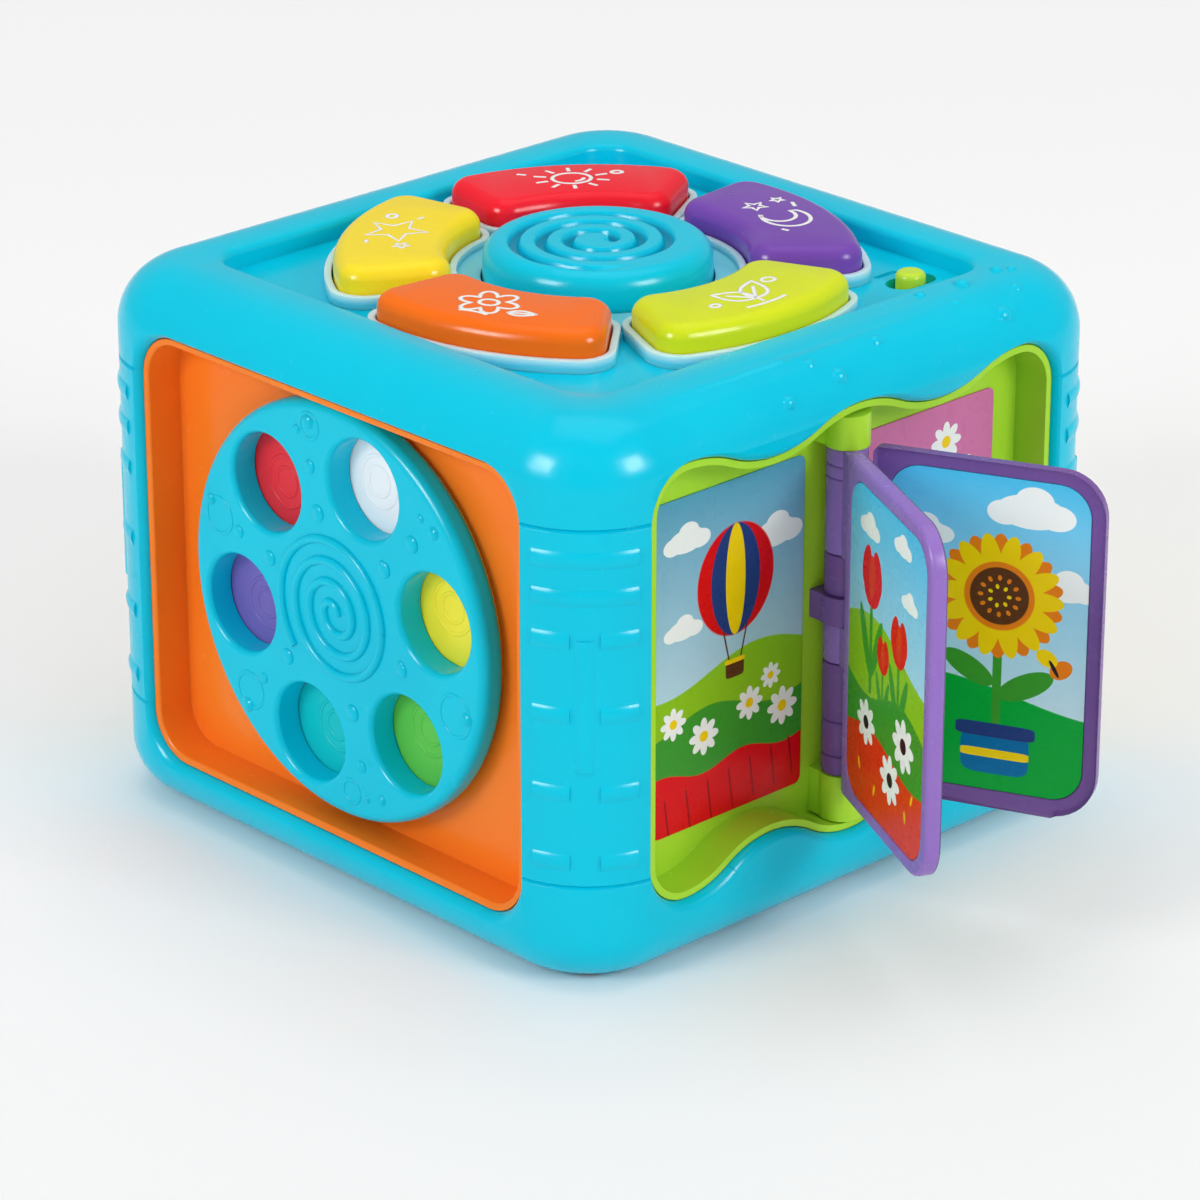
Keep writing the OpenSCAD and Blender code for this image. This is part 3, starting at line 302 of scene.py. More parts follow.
# %% Plastics by piece
VIOLET_SKIN = {"gloss": SILKY, "shine": 0.2, "soft": 0.1}
PAD_SKIN = {"gloss": SATIN}
PLASTICS = {
    "cyan_shell": (srgb(0, 203, 231), srgb(0, 197, 226), {}),
    "orange_plastic": (srgb(255, 118, 22), srgb(252, 110, 14), {"soft": 0.15}),
    "lime_plastic": (srgb(180, 230, 60), srgb(172, 223, 52), {}),
    "yellow_plastic": (srgb(255, 230, 48), srgb(254, 222, 34), {"soft": 0.2}),
    "violet_plastic": (srgb(126, 88, 162), srgb(120, 82, 156), VIOLET_SKIN),
    "red_plastic": (srgb(252, 32, 52), srgb(244, 24, 44), {"soft": 0.15}),
    "lime_button": (srgb(222, 232, 36), srgb(212, 226, 24), {"soft": 0.2}),
    "purple_button": (srgb(128, 82, 182), srgb(118, 70, 174), {"soft": 0.1}),
    "white_pad": (srgb(252, 252, 254), srgb(247, 248, 251), PAD_SKIN),
    "red_pad": (srgb(240, 54, 66), srgb(232, 44, 58), PAD_SKIN),
    "yellow_pad": (srgb(255, 240, 70), srgb(250, 232, 58), PAD_SKIN),
    "green_pad": (srgb(106, 210, 88), srgb(96, 202, 78), PAD_SKIN),
    "teal_pad": (srgb(10, 204, 208), srgb(2, 196, 202), PAD_SKIN),
    "purple_pad": (srgb(124, 110, 190), srgb(114, 100, 182), PAD_SKIN),
    "printed_card": (srgb(200, 228, 240), srgb(194, 224, 238), PAD_SKIN),
    "board": (srgb(20, 110, 60), srgb(16, 100, 54), PAD_SKIN),
    "dark_plastic": (srgb(44, 44, 48), srgb(38, 38, 42), {"gloss": (0.4, 0.55)}),
    "clear_rim": (srgb(208, 238, 246), srgb(198, 233, 243), {"soft": 1.0}),
    "green_lens": (srgb(70, 200, 80), srgb(60, 190, 70), {"clear": 0.5, "shine": 0.5}),
    "led": (srgb(236, 240, 246), srgb(230, 236, 244), {"clear": 0.7, "shine": 0.5}),
    "steel": (srgb(205, 207, 211), srgb(190, 192, 198), {"gloss": (0.22, 0.4), "metal": 1.0, "shine": 0.5}),
    "cell": (srgb(206, 166, 84), srgb(196, 154, 72), {"gloss": (0.28, 0.44), "metal": 0.8, "shine": 0.5}),
}
finishes = {
    name: plastic(name, colour, drifted, **skin) for name, (colour, drifted, skin) in PLASTICS.items()}
for subpart in frame["record"]["subparts"]:
    refinish(subpart["node"], finishes[subpart["material_slot"]])
refinish("wheel_panel", plastic("orange_recess", srgb(255, 136, 42), srgb(254, 128, 34)))
refinish("power_slider", plastic("lime_knob", srgb(204, 232, 66), srgb(192, 224, 54), soft=0.2))
print(f"{len(finishes)} finishes on {len(solids)} solids")

# %% [markdown]
# ## Milky bezel
# The buttons stand in a clear plate with milky rims. The plate is thin and lies on the cyan tray, so the
# tray's colour comes through it, and the thick rims stay pale. Real see-through plastic would show the toy's
# insides at the gaps, so the plate's tint follows its height instead.

# %% Milky bezel
PLATE_TINT = srgb(104, 212, 231)
PLATE_BELOW, RIM_BELOW = 2.0 * MM, 0.5 * MM


def skin_parts(material):
    """A plastic's node tree, the colour that it shows, and its Object coordinates by axis."""
    tree = material.node_tree
    tint = next(node for node in tree.nodes if node.type == "MIX")
    spread = next(node for node in tree.nodes if node.type == "TEX_COORD")
    axes = wire(tree, "ShaderNodeSeparateXYZ", {0: spread.outputs["Object"]})
    return tree, tint.outputs["Result"], axes.outputs


bezel_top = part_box("light_bezel")[1].z
tree, milky, axes = skin_parts(finishes["clear_rim"])
rim_share = wire(tree, "ShaderNodeMapRange", {
    "Value": axes["Z"], "From Min": bezel_top - PLATE_BELOW, "From Max": bezel_top - RIM_BELOW})
tinted = blend(tree, rim_share.outputs[0], PLATE_TINT, milky)
tree.links.new(tinted, tree.nodes["Principled BSDF"].inputs["Base Color"])
print(f"bezel: top at {bezel_top / MM:.1f} mm")

# %% [markdown]
# ## Clean skins
# Where the solids' rounded edges meet at a button's corners and along the wavy lip, the mesh keeps a few
# sheets of almost no thickness, and they show as dark ticks. In a copy with its points merged they are faces
# with a free edge, so those are peeled off until the copy is closed, and the copy stands for its solid.

# %% Clean skins
SHEET_GAP = 0.015 * MM
# edges that turn by more degrees than these stay sharp on skins, page frames and round forms
SHARP_SKIN, SHARP_PAGE, SHARP_ROUND = 32, 40, 60


def hanging_faces(bm):
    """The faces that have a free edge."""
    return [face for face in bm.faces if any(edge.is_boundary for edge in face.edges)]


def closed_copy(node):
    """A copy of a solid without sheets that hang on by one edge."""
    bm = bmesh.new()
    bm.from_mesh(solids[node].data)
    bmesh.ops.transform(bm, matrix=solids[node].matrix_world, verts=bm.verts)
    bmesh.ops.remove_doubles(bm, verts=bm.verts, dist=SHEET_GAP)
    peeled = 0
    while sheets := hanging_faces(bm):
        peeled += len(sheets)
        bmesh.ops.delete(bm, geom=sheets, context="FACES")
    bmesh.ops.recalc_face_normals(bm, faces=bm.faces)
    print(f"{node}: {peeled} faces peeled off")
    return bm


def settle(bm, name, body, finish, stands_for, sharp=SHARP_SKIN):
    """Makes a finished piece of a bmesh: smooth apart from sharp edges, with its finish, on its body."""
    mesh = bpy.data.meshes.new(name)
    bm.to_mesh(mesh)
    bm.free()
    if "custom_normal" in mesh.attributes:
        mesh.attributes.remove(mesh.attributes["custom_normal"])
    mesh.materials.clear()
    mesh.materials.append(finish)
    mesh.shade_smooth()
    mesh.set_sharp_from_angle(angle=math.radians(sharp))
    piece = bpy.data.objects.new(name, mesh)
    scene.collection.objects.link(piece)
    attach(piece, body)
    if stands_for:
        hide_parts(*stands_for)
    return piece


BUTTON_SLOTS = {
    "lime": "lime_button", "purple": "purple_button", "red": "red_plastic",
    "yellow": "yellow_plastic", "orange": "orange_plastic"}
skin = closed_copy("top_cover")
settle(skin, "top_cover_skin", "housing", finishes["cyan_shell"], ["top_cover"])
for colour, slot in BUTTON_SLOTS.items():
    skin = closed_copy(f"button_{colour}")
    settle(skin, f"button_{colour}_skin", f"{colour}_key", finishes[slot], [f"button_{colour}"])

# %% [markdown]
# ## Lower book lip
# The lower lip of the book's opening is rolled at its two ends, and its wavy middle is still a sharp corner
# in the solid. In a copy the flat faces beside that corner are first joined into large ones, so that nothing
# gets in the way, and then a bevel of the same radius as the ends rolls the middle.

# %% Lower book lip
SIDE_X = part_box("base_cover")[1].x
LIP_ROLL, LIP_REACH, LIP_DEPTH = 2.4 * MM, 48.0 * MM, 4.0 * MM
LIP_LOW, LIP_HIGH = 12.0 * MM, 27.0 * MM
FLAT_WITHIN = math.radians(0.5)
ON_SIDE = 0.01 * MM


def round_lip(bm):
    """Rolls the sharp corner between the cube's right side and the wall of the book's opening."""
    near = [face for face in bm.faces if all(
        SIDE_X - LIP_DEPTH < v.co.x and LIP_LOW < v.co.z < LIP_HIGH for v in face.verts)
        and any(abs(v.co.y) < LIP_REACH for v in face.verts)]
    edges = list({edge for face in near for edge in face.edges})
    verts = list({vert for face in near for vert in face.verts})
    bmesh.ops.dissolve_limit(bm, angle_limit=FLAT_WITHIN, verts=verts, edges=edges)
    bm.normal_update()
    corner = []
    for edge in bm.edges:
        if len(edge.link_faces) == 2 and all(abs(v.co.x - SIDE_X) < ON_SIDE for v in edge.verts):
            flat, wall = sorted(edge.link_faces, key=lambda face: -face.normal.x)
            if flat.normal.x > 0.99 and abs(wall.normal.x) < 0.05 and wall.normal.z > 0.5:
                corner.append(edge)
    bmesh.ops.bevel(bm, geom=corner, offset=LIP_ROLL, segments=6, profile=0.5, affect="EDGES", material=-1)
    print(f"lower lip: {len(corner)} edges rolled")


skin = closed_copy("base_cover")
round_lip(skin)
settle(skin, "base_cover_skin", "housing", finishes["cyan_shell"], ["base_cover"])

# %% [markdown]
# ## Swirl button
# The middle button has a broad swirl: its groove winds out from the middle between ridges that are level with
# the rim. A grid of rings and spokes is lowered by the distance to the groove's line, an even spiral, and
# the groove eases in and out at its ends.

# %% Swirl height
HUB_BELOW, SKIRT_LIFT = 0.1, 2.0
HUB_RADIUS, HUB_ROUND = 28.0, 4.6
SWIRL_START, SWIRL_PITCH, SWIRL_TURNS = 3.0, 6.6, 2.95
SWIRL_EASE_IN, SWIRL_EASE_OUT = 0.5, 0.9
GROOVE_RIM, GROOVE_FLOOR, GROOVE_DEPTH = 1.85, 0.75, 2.2
hub_low, hub_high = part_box("hub_button")
HUB_TOP = hub_high.z / MM - HUB_BELOW


def ease(low, high, value):
    """A smooth step from 0 at low to 1 at high."""
    share = min(max((value - low) / (high - low), 0.0), 1.0)
    return share * share * (3 - 2 * share)


def groove(reach, angle):
    """How deep the swirl is at a distance and an angle from the button's middle, from 0 to 1."""
    deepest, end = 0.0, math.tau * SWIRL_TURNS
    for turn in range(math.ceil(SWIRL_TURNS) + 1):
        swept = angle + math.tau * turn
        apart = abs(reach - SWIRL_START - SWIRL_PITCH * swept / math.tau)
        taper = ease(0, SWIRL_EASE_IN, swept) * ease(end, end - SWIRL_EASE_OUT, swept)
        deepest = max(deepest, taper * ease(GROOVE_RIM, GROOVE_FLOOR, apart))
    return deepest


# %% Swirl button
SPOKES, FLAT_RINGS, RING_STEP, ROUND_STEPS = 240, 65, 0.35, 10
rings = [(RING_STEP * (k + 1), HUB_TOP) for k in range(FLAT_RINGS)]
for k in range(ROUND_STEPS + 1):
    turn = math.radians(90 * k / ROUND_STEPS)
    rings.append((HUB_RADIUS - HUB_ROUND * (1 - math.sin(turn)), HUB_TOP - HUB_ROUND * (1 - math.cos(turn))))
rings.append((HUB_RADIUS, hub_low.z / MM + SKIRT_LIFT))
spokes = [math.tau * k / SPOKES for k in range(SPOKES)]
bm = bmesh.new()
loops = [[
    bm.verts.new((reach * math.cos(a), reach * math.sin(a), height - GROOVE_DEPTH * groove(reach, a)))
    for a in spokes] for reach, height in rings]
for inner, outer in zip(loops, loops[1:]):
    for k in range(SPOKES):
        bm.faces.new((inner[k], outer[k], outer[(k + 1) % SPOKES], inner[(k + 1) % SPOKES]))
bm.faces.new(loops[0])
bm.faces.new(reversed(loops[-1]))
bmesh.ops.scale(bm, verts=bm.verts, vec=(MM, MM, MM))
bmesh.ops.recalc_face_normals(bm, faces=bm.faces)
print(f"swirl: {len(loops)} rings of {SPOKES} points")

# %% [markdown]
# The groove gets less light than the ridge, so its cyan is painted deeper as painted shade. Only the flat
# part of the button is shaded by its depth, because the rounded edge lies lower as well.

# %% Swirl finish
GROOVE_SHADE = srgb(0, 160, 192)
SHADE_BELOW = 0.5
hub_skin = plastic("hub_skin", *PLASTICS["cyan_shell"][:2])
tree, shell_tint, axes = skin_parts(hub_skin)
flat = wire(tree, "ShaderNodeCombineXYZ", {"X": axes["X"], "Y": axes["Y"]})
reach = wire(tree, "ShaderNodeVectorMath", {0: flat.outputs[0]}, operation="LENGTH")
inside = wire(tree, "ShaderNodeMath", {
    0: reach.outputs["Value"], 1: (HUB_RADIUS - HUB_ROUND) * MM}, operation="LESS_THAN")
sunk = wire(tree, "ShaderNodeMapRange", {
    "Value": axes["Z"], "From Min": (HUB_TOP - SHADE_BELOW) * MM, "From Max": (HUB_TOP - GROOVE_DEPTH) * MM},
    interpolation_type="SMOOTHSTEP")
low = wire(tree, "ShaderNodeMath", {0: inside.outputs[0], 1: sunk.outputs[0]}, operation="MULTIPLY")
# painted shade: the cyan is darkened where the flat top sinks into the groove
deep = blend(tree, low.outputs[0], shell_tint, GROOVE_SHADE)
tree.links.new(deep, tree.nodes["Principled BSDF"].inputs["Base Color"])
swirl = settle(bm, "hub_swirl", "hub_key", hub_skin, ["hub_button"], SHARP_ROUND)
print(f"hub_swirl: {len(swirl.data.polygons)} faces")

# %% [markdown]
# ## Printed cards
# The book's pictures are flat prints: a few inks with clean edges on a card. Painted meshes would stack up
# into reliefs, so each picture is drawn by its material. Three groups are the stencils: a spot that
# goes from a disc to a diamond or a box, a ring of petals, and a rolling hill line. Each gives a mask,
# and the inks are laid over each other in order.

# %% Stencil groups
INK_EDGE = 0.015
MASK = [("Mask", FLOAT)]


def cut_edge(tree, end, distance):
    """Turns a distance of 1 at the outline into a mask with a crisp, slightly soft edge."""
    mask = wire(tree, "ShaderNodeMapRange", {
        "Value": distance, "From Min": 1 + INK_EDGE, "From Max": 1 - INK_EDGE})
    tree.links.new(mask.outputs[0], end.inputs["Mask"])


def math_node(tree, operation, *values):
    """The result of a Math node on values or links."""
    return wire(tree, "ShaderNodeMath", dict(enumerate(values)), operation=operation).outputs[0]


def vector_node(tree, operation, *values):
    """The vector that a Vector Math node makes of values or links."""
    return wire(tree, "ShaderNodeVectorMath", dict(enumerate(values)), operation=operation).outputs[0]


def squircle(tree, point, power):
    """How far a point lies out, where 1 is the rim of a disc (power 2), a diamond (1) or a box (8)."""
    axes = wire(tree, "ShaderNodeSeparateXYZ", {0: vector_node(tree, "ABSOLUTE", point)}).outputs
    across = math_node(tree, "POWER", axes["X"], power)
    along = math_node(tree, "POWER", axes["Y"], power)
    total = math_node(tree, "ADD", across, along)
    return math_node(tree, "POWER", total, math_node(tree, "DIVIDE", 1.0, power))


# %% Spot stencil
tree, start, end = open_group(
    "ink_spot",
    [("Vector", VECTOR), ("Centre", VECTOR), ("Radii", VECTOR), ("Turn", FLOAT), ("Power", FLOAT)], MASK)
moved = vector_node(tree, "SUBTRACT", start.outputs["Vector"], start.outputs["Centre"])
turned = wire(tree, "ShaderNodeVectorRotate", {
    "Vector": moved, "Angle": start.outputs["Turn"]}, rotation_type="Z_AXIS", invert=True)
scaled = vector_node(tree, "DIVIDE", turned.outputs[0], start.outputs["Radii"])
cut_edge(tree, end, squircle(tree, scaled, start.outputs["Power"]))
ink_spot = tree
print(f"spot stencil: {len(tree.nodes)} nodes")

# %% Petal stencil
tree, start, end = open_group(
    "ink_petals",
    [("Vector", VECTOR), ("Centre", VECTOR), ("Ring", FLOAT), ("Radii", VECTOR), ("Count", FLOAT),
     ("Turn", FLOAT)], MASK)
moved = vector_node(tree, "SUBTRACT", start.outputs["Vector"], start.outputs["Centre"])
axes = wire(tree, "ShaderNodeSeparateXYZ", {0: moved}).outputs
out = wire(tree, "ShaderNodeVectorMath", {0: moved}, operation="LENGTH").outputs["Value"]
bearing = math_node(tree, "ARCTAN2", axes["Y"], axes["X"])
angle = math_node(tree, "ADD", bearing, start.outputs["Turn"])
half_step = math_node(tree, "DIVIDE", math.pi, start.outputs["Count"])
folded = math_node(tree, "WRAP", angle, half_step, math_node(tree, "MULTIPLY", half_step, -1.0))
forward = math_node(tree, "MULTIPLY", out, math_node(tree, "COSINE", folded))
along = math_node(tree, "SUBTRACT", forward, start.outputs["Ring"])
across = math_node(tree, "MULTIPLY", out, math_node(tree, "SINE", folded))
petal = wire(tree, "ShaderNodeCombineXYZ", {"X": along, "Y": across})
scaled = vector_node(tree, "DIVIDE", petal.outputs[0], start.outputs["Radii"])
cut_edge(tree, end, squircle(tree, scaled, 2.0))
ink_petals = tree
print(f"petal stencil: {len(tree.nodes)} nodes")

# %% Hill stencil
HILL_SHARPNESS = 0.1
tree, start, end = open_group(
    "ink_hill",
    [("Vector", VECTOR), ("Height", FLOAT), ("Swell", FLOAT), ("Wave", FLOAT), ("Phase", FLOAT)], MASK)
axes = wire(tree, "ShaderNodeSeparateXYZ", {0: start.outputs["Vector"]}).outputs
pace = math_node(tree, "DIVIDE", math.tau, start.outputs["Wave"])
turn = math_node(tree, "MULTIPLY_ADD", axes["X"], pace, start.outputs["Phase"])
wave = math_node(tree, "SINE", turn)
line = math_node(tree, "MULTIPLY_ADD", wave, start.outputs["Swell"], start.outputs["Height"])
above = math_node(tree, "SUBTRACT", axes["Y"], line)
cut_edge(tree, end, math_node(tree, "MULTIPLY_ADD", above, HILL_SHARPNESS, 1.0))
ink_hill = tree
print(f"hill stencil: {len(tree.nodes)} nodes")

# %% [markdown]
# A picture is a list of inks. Each ink names its stencil, its colour and its place in millimetres from the
# middle of the card. Small functions return the inks of things that repeat: a puffy cloud, a daisy, a
# tulip. The motifs are plain garden ones, in the strong colours of nursery prints.

# %% Inks
# the third sky colour is the sky with painted shade, for the picture that lies in the recess
SKY_HIGH, SKY_LOW, SKY_SHADED = srgb(80, 198, 242), srgb(206, 233, 246), srgb(88, 164, 196)
WHITE, SUN, ORANGE, RED = srgb(250, 250, 248), srgb(255, 214, 12), srgb(244, 130, 24), srgb(228, 12, 22)
NAVY, BLUE, BROWN, DARK = srgb(38, 62, 128), srgb(0, 112, 172), srgb(96, 54, 26), srgb(36, 32, 36)
GRASS, LEAF, MEADOW = srgb(146, 200, 34), srgb(62, 156, 48), srgb(4, 170, 62)
BRICK, FURROW = srgb(230, 58, 24), srgb(164, 10, 20)
PINK, ROSE, BLUSH = srgb(216, 120, 172), srgb(200, 96, 154), srgb(236, 168, 204)
POOL, FROTH = srgb(40, 150, 205), srgb(150, 215, 240)


def spot(colour, x, y, wide, tall, turn=0.0, power=2.0):
    """One ink through the spot stencil."""
    return (ink_spot, colour, {
        "Centre": (x, y, 0), "Radii": (wide, tall, 1), "Turn": math.radians(turn), "Power": power})


def petals(colour, x, y, ring, length, width, count, turn=0.0):
    """One ink through the petal stencil."""
    return (ink_petals, colour, {
        "Centre": (x, y, 0), "Ring": ring, "Radii": (length, width, 1), "Count": count,
        "Turn": math.radians(turn)})


def hill(colour, height, swell, wave, phase):
    """One ink through the hill stencil."""
    return (ink_hill, colour, {"Height": height, "Swell": swell, "Wave": wave, "Phase": phase})


def cloud(x, y, size):
    """A puffy cloud of four spots."""
    puffs = ((0, 0, 1.0, 0.5), (-0.75, -0.1, 0.5, 0.36), (0.72, -0.08, 0.56, 0.38), (0.1, 0.32, 0.55, 0.42))
    return [spot(WHITE, x + size * dx, y + size * dy, size * wide, size * tall)
            for dx, dy, wide, tall in puffs]


def daisy(x, y, size, middle=SUN):
    """White petals round a coloured middle."""
    return [petals(WHITE, x, y, 0.62 * size, 0.42 * size, 0.24 * size, 8),
            spot(middle, x, y, 0.3 * size, 0.3 * size)]


def tulip(x, y, size):
    """A red cup on a stem with two leaves, in sizes that grow with the flower."""
    def part(colour, dx, dy, wide, tall, turn=0.0, power=2.0):
        return spot(colour, x + dx * size, y + dy * size, wide * size, tall * size, turn, power)
    stem = [part(LEAF, 0, -1.6, 0.1, 1.5, 0, 8)]
    leaves = [part(LEAF, 0.42 * side, -1.7, 0.2, 0.95, -22 * side) for side in (-1, 1)]
    cup = [part(RED, 0, 0, 0.62, 0.7)]
    cup += [part(RED, 0.38 * side, 0.35, 0.3, 0.6, 14 * side) for side in (-1, 1)]
    return stem + leaves + cup + [part(BRICK, 0, 0.12, 0.2, 0.62)]


# %% Pictures
balloon = [
    *cloud(-14, 31, 6), *cloud(15, 25, 7), *cloud(-15, 9, 5),
    hill(GRASS, -4, 3.5, 62, 0.6), hill(LEAF, -15, 2.5, 44, 2.4),
    spot(RED, 2, 17, 12.5, 14), spot(NAVY, 2, 17, 8, 14), spot(SUN, 2, 17, 3.2, 14),
    spot(BROWN, -0.8, 0.5, 0.25, 4.4, 14, 8), spot(BROWN, 4.8, 0.5, 0.25, 4.4, -14, 8),
    spot(BROWN, 2, -5.4, 3.0, 2.4, 0, 6), spot(SUN, 2, -3.6, 3.3, 0.6, 0, 6),
    *daisy(-18, -14, 4), *daisy(-8, -20, 4.6), *daisy(7, -16, 4.2), *daisy(18, -20, 4.8),
    *daisy(14, -11, 3.2),
    hill(RED, -28, 1.4, 27, 0.4),
    *[spot(FURROW, x, -36 + 0.1 * x, 0.3, 5.5, 8, 4) for x in (-20, -13, -6, 1, 8, 15, 21)],
]
tulips = [
    *cloud(-12, 31, 5), *cloud(9, 34, 4.4), *cloud(14, 22, 4),
    hill(GRASS, 6, 4, 70, 2.2), hill(LEAF, -8, 3, 48, 0.2),
    *tulip(-10, 18, 9), *tulip(8, 9, 7.5), *tulip(-2, 2, 5.5),
    hill(BRICK, -21, 2.2, 52, 2.6),
    *daisy(12, -14, 6.5, DARK), *daisy(-12, -18, 5.6, DARK), *daisy(4, -26, 6.0, DARK),
    *[spot(SUN, x, y, 0.5, 1.6, turn) for x, y, turn in (
        (-16, -30, 20), (-6, -33, -15), (14, -31, 10), (18, -25, -20))],
]
sunflower = [
    *cloud(10, 32, 8.5), *cloud(-16, 24, 6), *cloud(19, 14, 6.5),
    hill(MEADOW, -15, 4, 90, 2.6),
    spot(LEAF, 3, -13, 1.1, 16, 0, 8), spot(LEAF, 10, -12, 7.5, 3.0, 28), spot(LEAF, -4, -9, 7.0, 2.8, -30),
    petals(ORANGE, 3, 10, 9.5, 6.2, 2.5, 14, 12.8), petals(SUN, 3, 10, 9.5, 6.2, 2.4, 14),
    spot(ORANGE, 3, 10, 8.6, 8.6), spot(BROWN, 3, 10, 7.2, 7.2), petals(ORANGE, 3, 10, 4.6, 0.7, 0.5, 12),
    petals(SUN, 3, 10, 2.4, 0.6, 0.45, 7),
    spot(BLUE, 3, -30, 8.4, 5.6, 0, 5), spot(NAVY, 3, -24.4, 9.8, 1.8, 0, 6),
    spot(SUN, 3, -30.4, 8.4, 1.1, 0, 7),
    spot(ORANGE, 18.5, -6.5, 3.0, 2.2, 35), spot(SUN, 15.0, -4.0, 2.8, 2.0, -30),
    spot(DARK, 16.8, -6.4, 0.5, 2.4, 30),
]
posy = [
    *[spot(colour, 0, -12, radius, radius) for colour, radius in (
        (BLUSH, 21), (WHITE, 18.5), (PINK, 15), (WHITE, 11), (ROSE, 8))],
    *daisy(-14, 26, 6), *daisy(8, 32, 5), *daisy(16, 20, 6.5), *daisy(-4, 16, 4),
    hill(BLUSH, -24, 2.5, 40, 0.8), *daisy(-12, -31, 5), *daisy(10, -33, 6),
]
orchard = [
    *cloud(-12, 30, 6), *cloud(13, 33, 5), hill(GRASS, -12, 3, 60, 1.0), spot(BROWN, 0, -9, 2.4, 15, 0, 6),
    spot(LEAF, 0, 14, 14, 11), spot(LEAF, -9, 7, 8, 7), spot(LEAF, 9, 7, 8, 7), spot(MEADOW, 2, 17, 9, 6.5),
    *[spot(RED, x, y, 1.9, 1.9) for x, y in ((-9, 9), (-3, 18), (4, 9), (9, 15), (12, 5), (-1, 3))],
    hill(LEAF, -26, 2, 34, 2.0), *daisy(-14, -22, 4.5), *daisy(13, -24, 5),
]
pond = [
    hill(BLUE, 14, 1.2, 16, 0.0), hill(POOL, 2, 1.2, 16, 2.0), *cloud(4, 31, 7),
    spot(ORANGE, -9, 6, 3.2, 3.2, 0, 1.2), spot(ORANGE, -2, 6, 6.5, 3.8),
    spot(WHITE, 1.5, 7, 0.8, 0.8), spot(DARK, 1.7, 7, 0.4, 0.4),
    spot(SUN, 15, -8, 2.6, 2.6, 0, 1.2), spot(SUN, 9, -8, 5.4, 3.2), spot(DARK, 6.2, -7.4, 0.4, 0.4),
    *[spot(FROTH, x, y, radius, radius) for x, y, radius in (
        (10, 4, 1.0), (12, 8, 0.7), (-12, -6, 1.1), (-10, -2, 0.7))],
    hill(SUN, -30, 1.8, 24, 1.0), spot(LEAF, -17, -22, 1.0, 9, 6), spot(LEAF, -14, -25, 0.9, 7, -10),
    spot(LEAF, 18, -24, 1.0, 8, -6),
]


# %% [markdown]
# The card's own plane comes from a Mapping node set to undo the card's place: it takes away the point that
# the picture is centred on, turns back by the page's angle and divides by a millimetre. The print then
# travels with its page.

# %% Print the cards
NEAR_ANGLE, FAR_ANGLE, FLOOR_ANGLE = math.radians(-26), math.radians(25), math.radians(90)
FACE_ON = {"near": NEAR_ANGLE, "far": FAR_ANGLE, "picture": FLOOR_ANGLE}
VARNISH = {"gloss": (0.24, 0.36), "peel": (1500.0, 0.015), "shine": 0.12}


def printed(node, inks, low, high, angle):
    """Prints a picture on a card: a graded ground, then the inks in order, under a thin satin varnish."""
    material = plastic(node, low, low, **VARNISH)
    tree = material.node_tree
    lowest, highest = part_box(node)
    spread = wire(tree, "ShaderNodeTexCoord")
    plane = wire(tree, "ShaderNodeMapping", {
        "Vector": spread.outputs["Object"], "Location": (lowest + highest) / 2, "Rotation": (0, 0, angle),
        "Scale": (MM, MM, MM)}, vector_type="TEXTURE")
    axes = wire(tree, "ShaderNodeSeparateXYZ", {0: plane.outputs[0]}).outputs
    point = wire(tree, "ShaderNodeCombineXYZ", {"X": axes["X"], "Y": axes["Z"]})
    reach = (highest.z - lowest.z) / 2 / MM
    rise = wire(tree, "ShaderNodeMapRange", {
        "Value": axes["Z"], "From Min": -0.5 * reach, "From Max": reach})
    colour = blend(tree, rise.outputs[0], low, high)
    for stencil, ink, values in inks:
        mask = wire(tree, "ShaderNodeGroup", node_tree=stencil)
        tree.links.new(point.outputs[0], mask.inputs["Vector"])
        for socket, value in values.items():
            mask.inputs[socket].default_value = value
        colour = blend(tree, mask.outputs["Mask"], colour, ink)
    tree.links.new(colour, tree.nodes["Principled BSDF"].inputs["Base Color"])
    refinish(node, material)
    print(f"{node}: {len(inks)} inks")


PRINTS = {
    # painted shade: the left picture lies in the recess, so the top of its sky is painted darker
    "picture_left": (balloon, SKY_LOW, SKY_SHADED),
    "picture_right": (posy, PINK, PINK),
    "near_card_front": (tulips, SKY_LOW, SKY_HIGH),
    "near_card_back": (orchard, SKY_LOW, SKY_HIGH),
    "far_card_front": (sunflower, SKY_LOW, SKY_HIGH),
    "far_card_back": (pond, SKY_LOW, SKY_HIGH),
}
for node, (inks, low, high) in PRINTS.items():
    printed(node, inks, low, high, FACE_ON[node.split("_")[0]])

# %% [markdown]
# ## Page frames
# The solids' page frames have sharp edges, and the real ones are puffy rims with a soft roll on every edge. A
# frame is two matching loops, the rim and the window, joined into faces on both sides with a shallow pocket
# for the card, and then the loops' edges are bevelled. The knuckles are spun round the spine, and ring
# grooves split the long ones as on the real hinge.

# %% Page sizes in millimetres
HINGE_X = 84.3
PAGE = {"inner": 6.6, "end": 63.0, "low": 28.7, "high": 115.7, "near_side": 0.2, "far_side": 2.8}
BORDER, POCKET = 3.6, 0.6
HINGE_CORNER, FREE_CORNER, WINDOW_CORNER = 1.9, 11.0, 8.0
RIM_ROLL, WINDOW_EASE = 1.1, 0.35
KNUCKLES = {"near": ((88.5, 115.2), (60.8, 71.0)), "far": ((78.0, 88.5), (31.8, 60.8))}
KNUCKLE_BORE, KNUCKLE_RADIUS, KNUCKLE_GAP = 2.2, 5.0, 0.1
GROOVES = (110.8, 107.6, 45.7, 36.8)
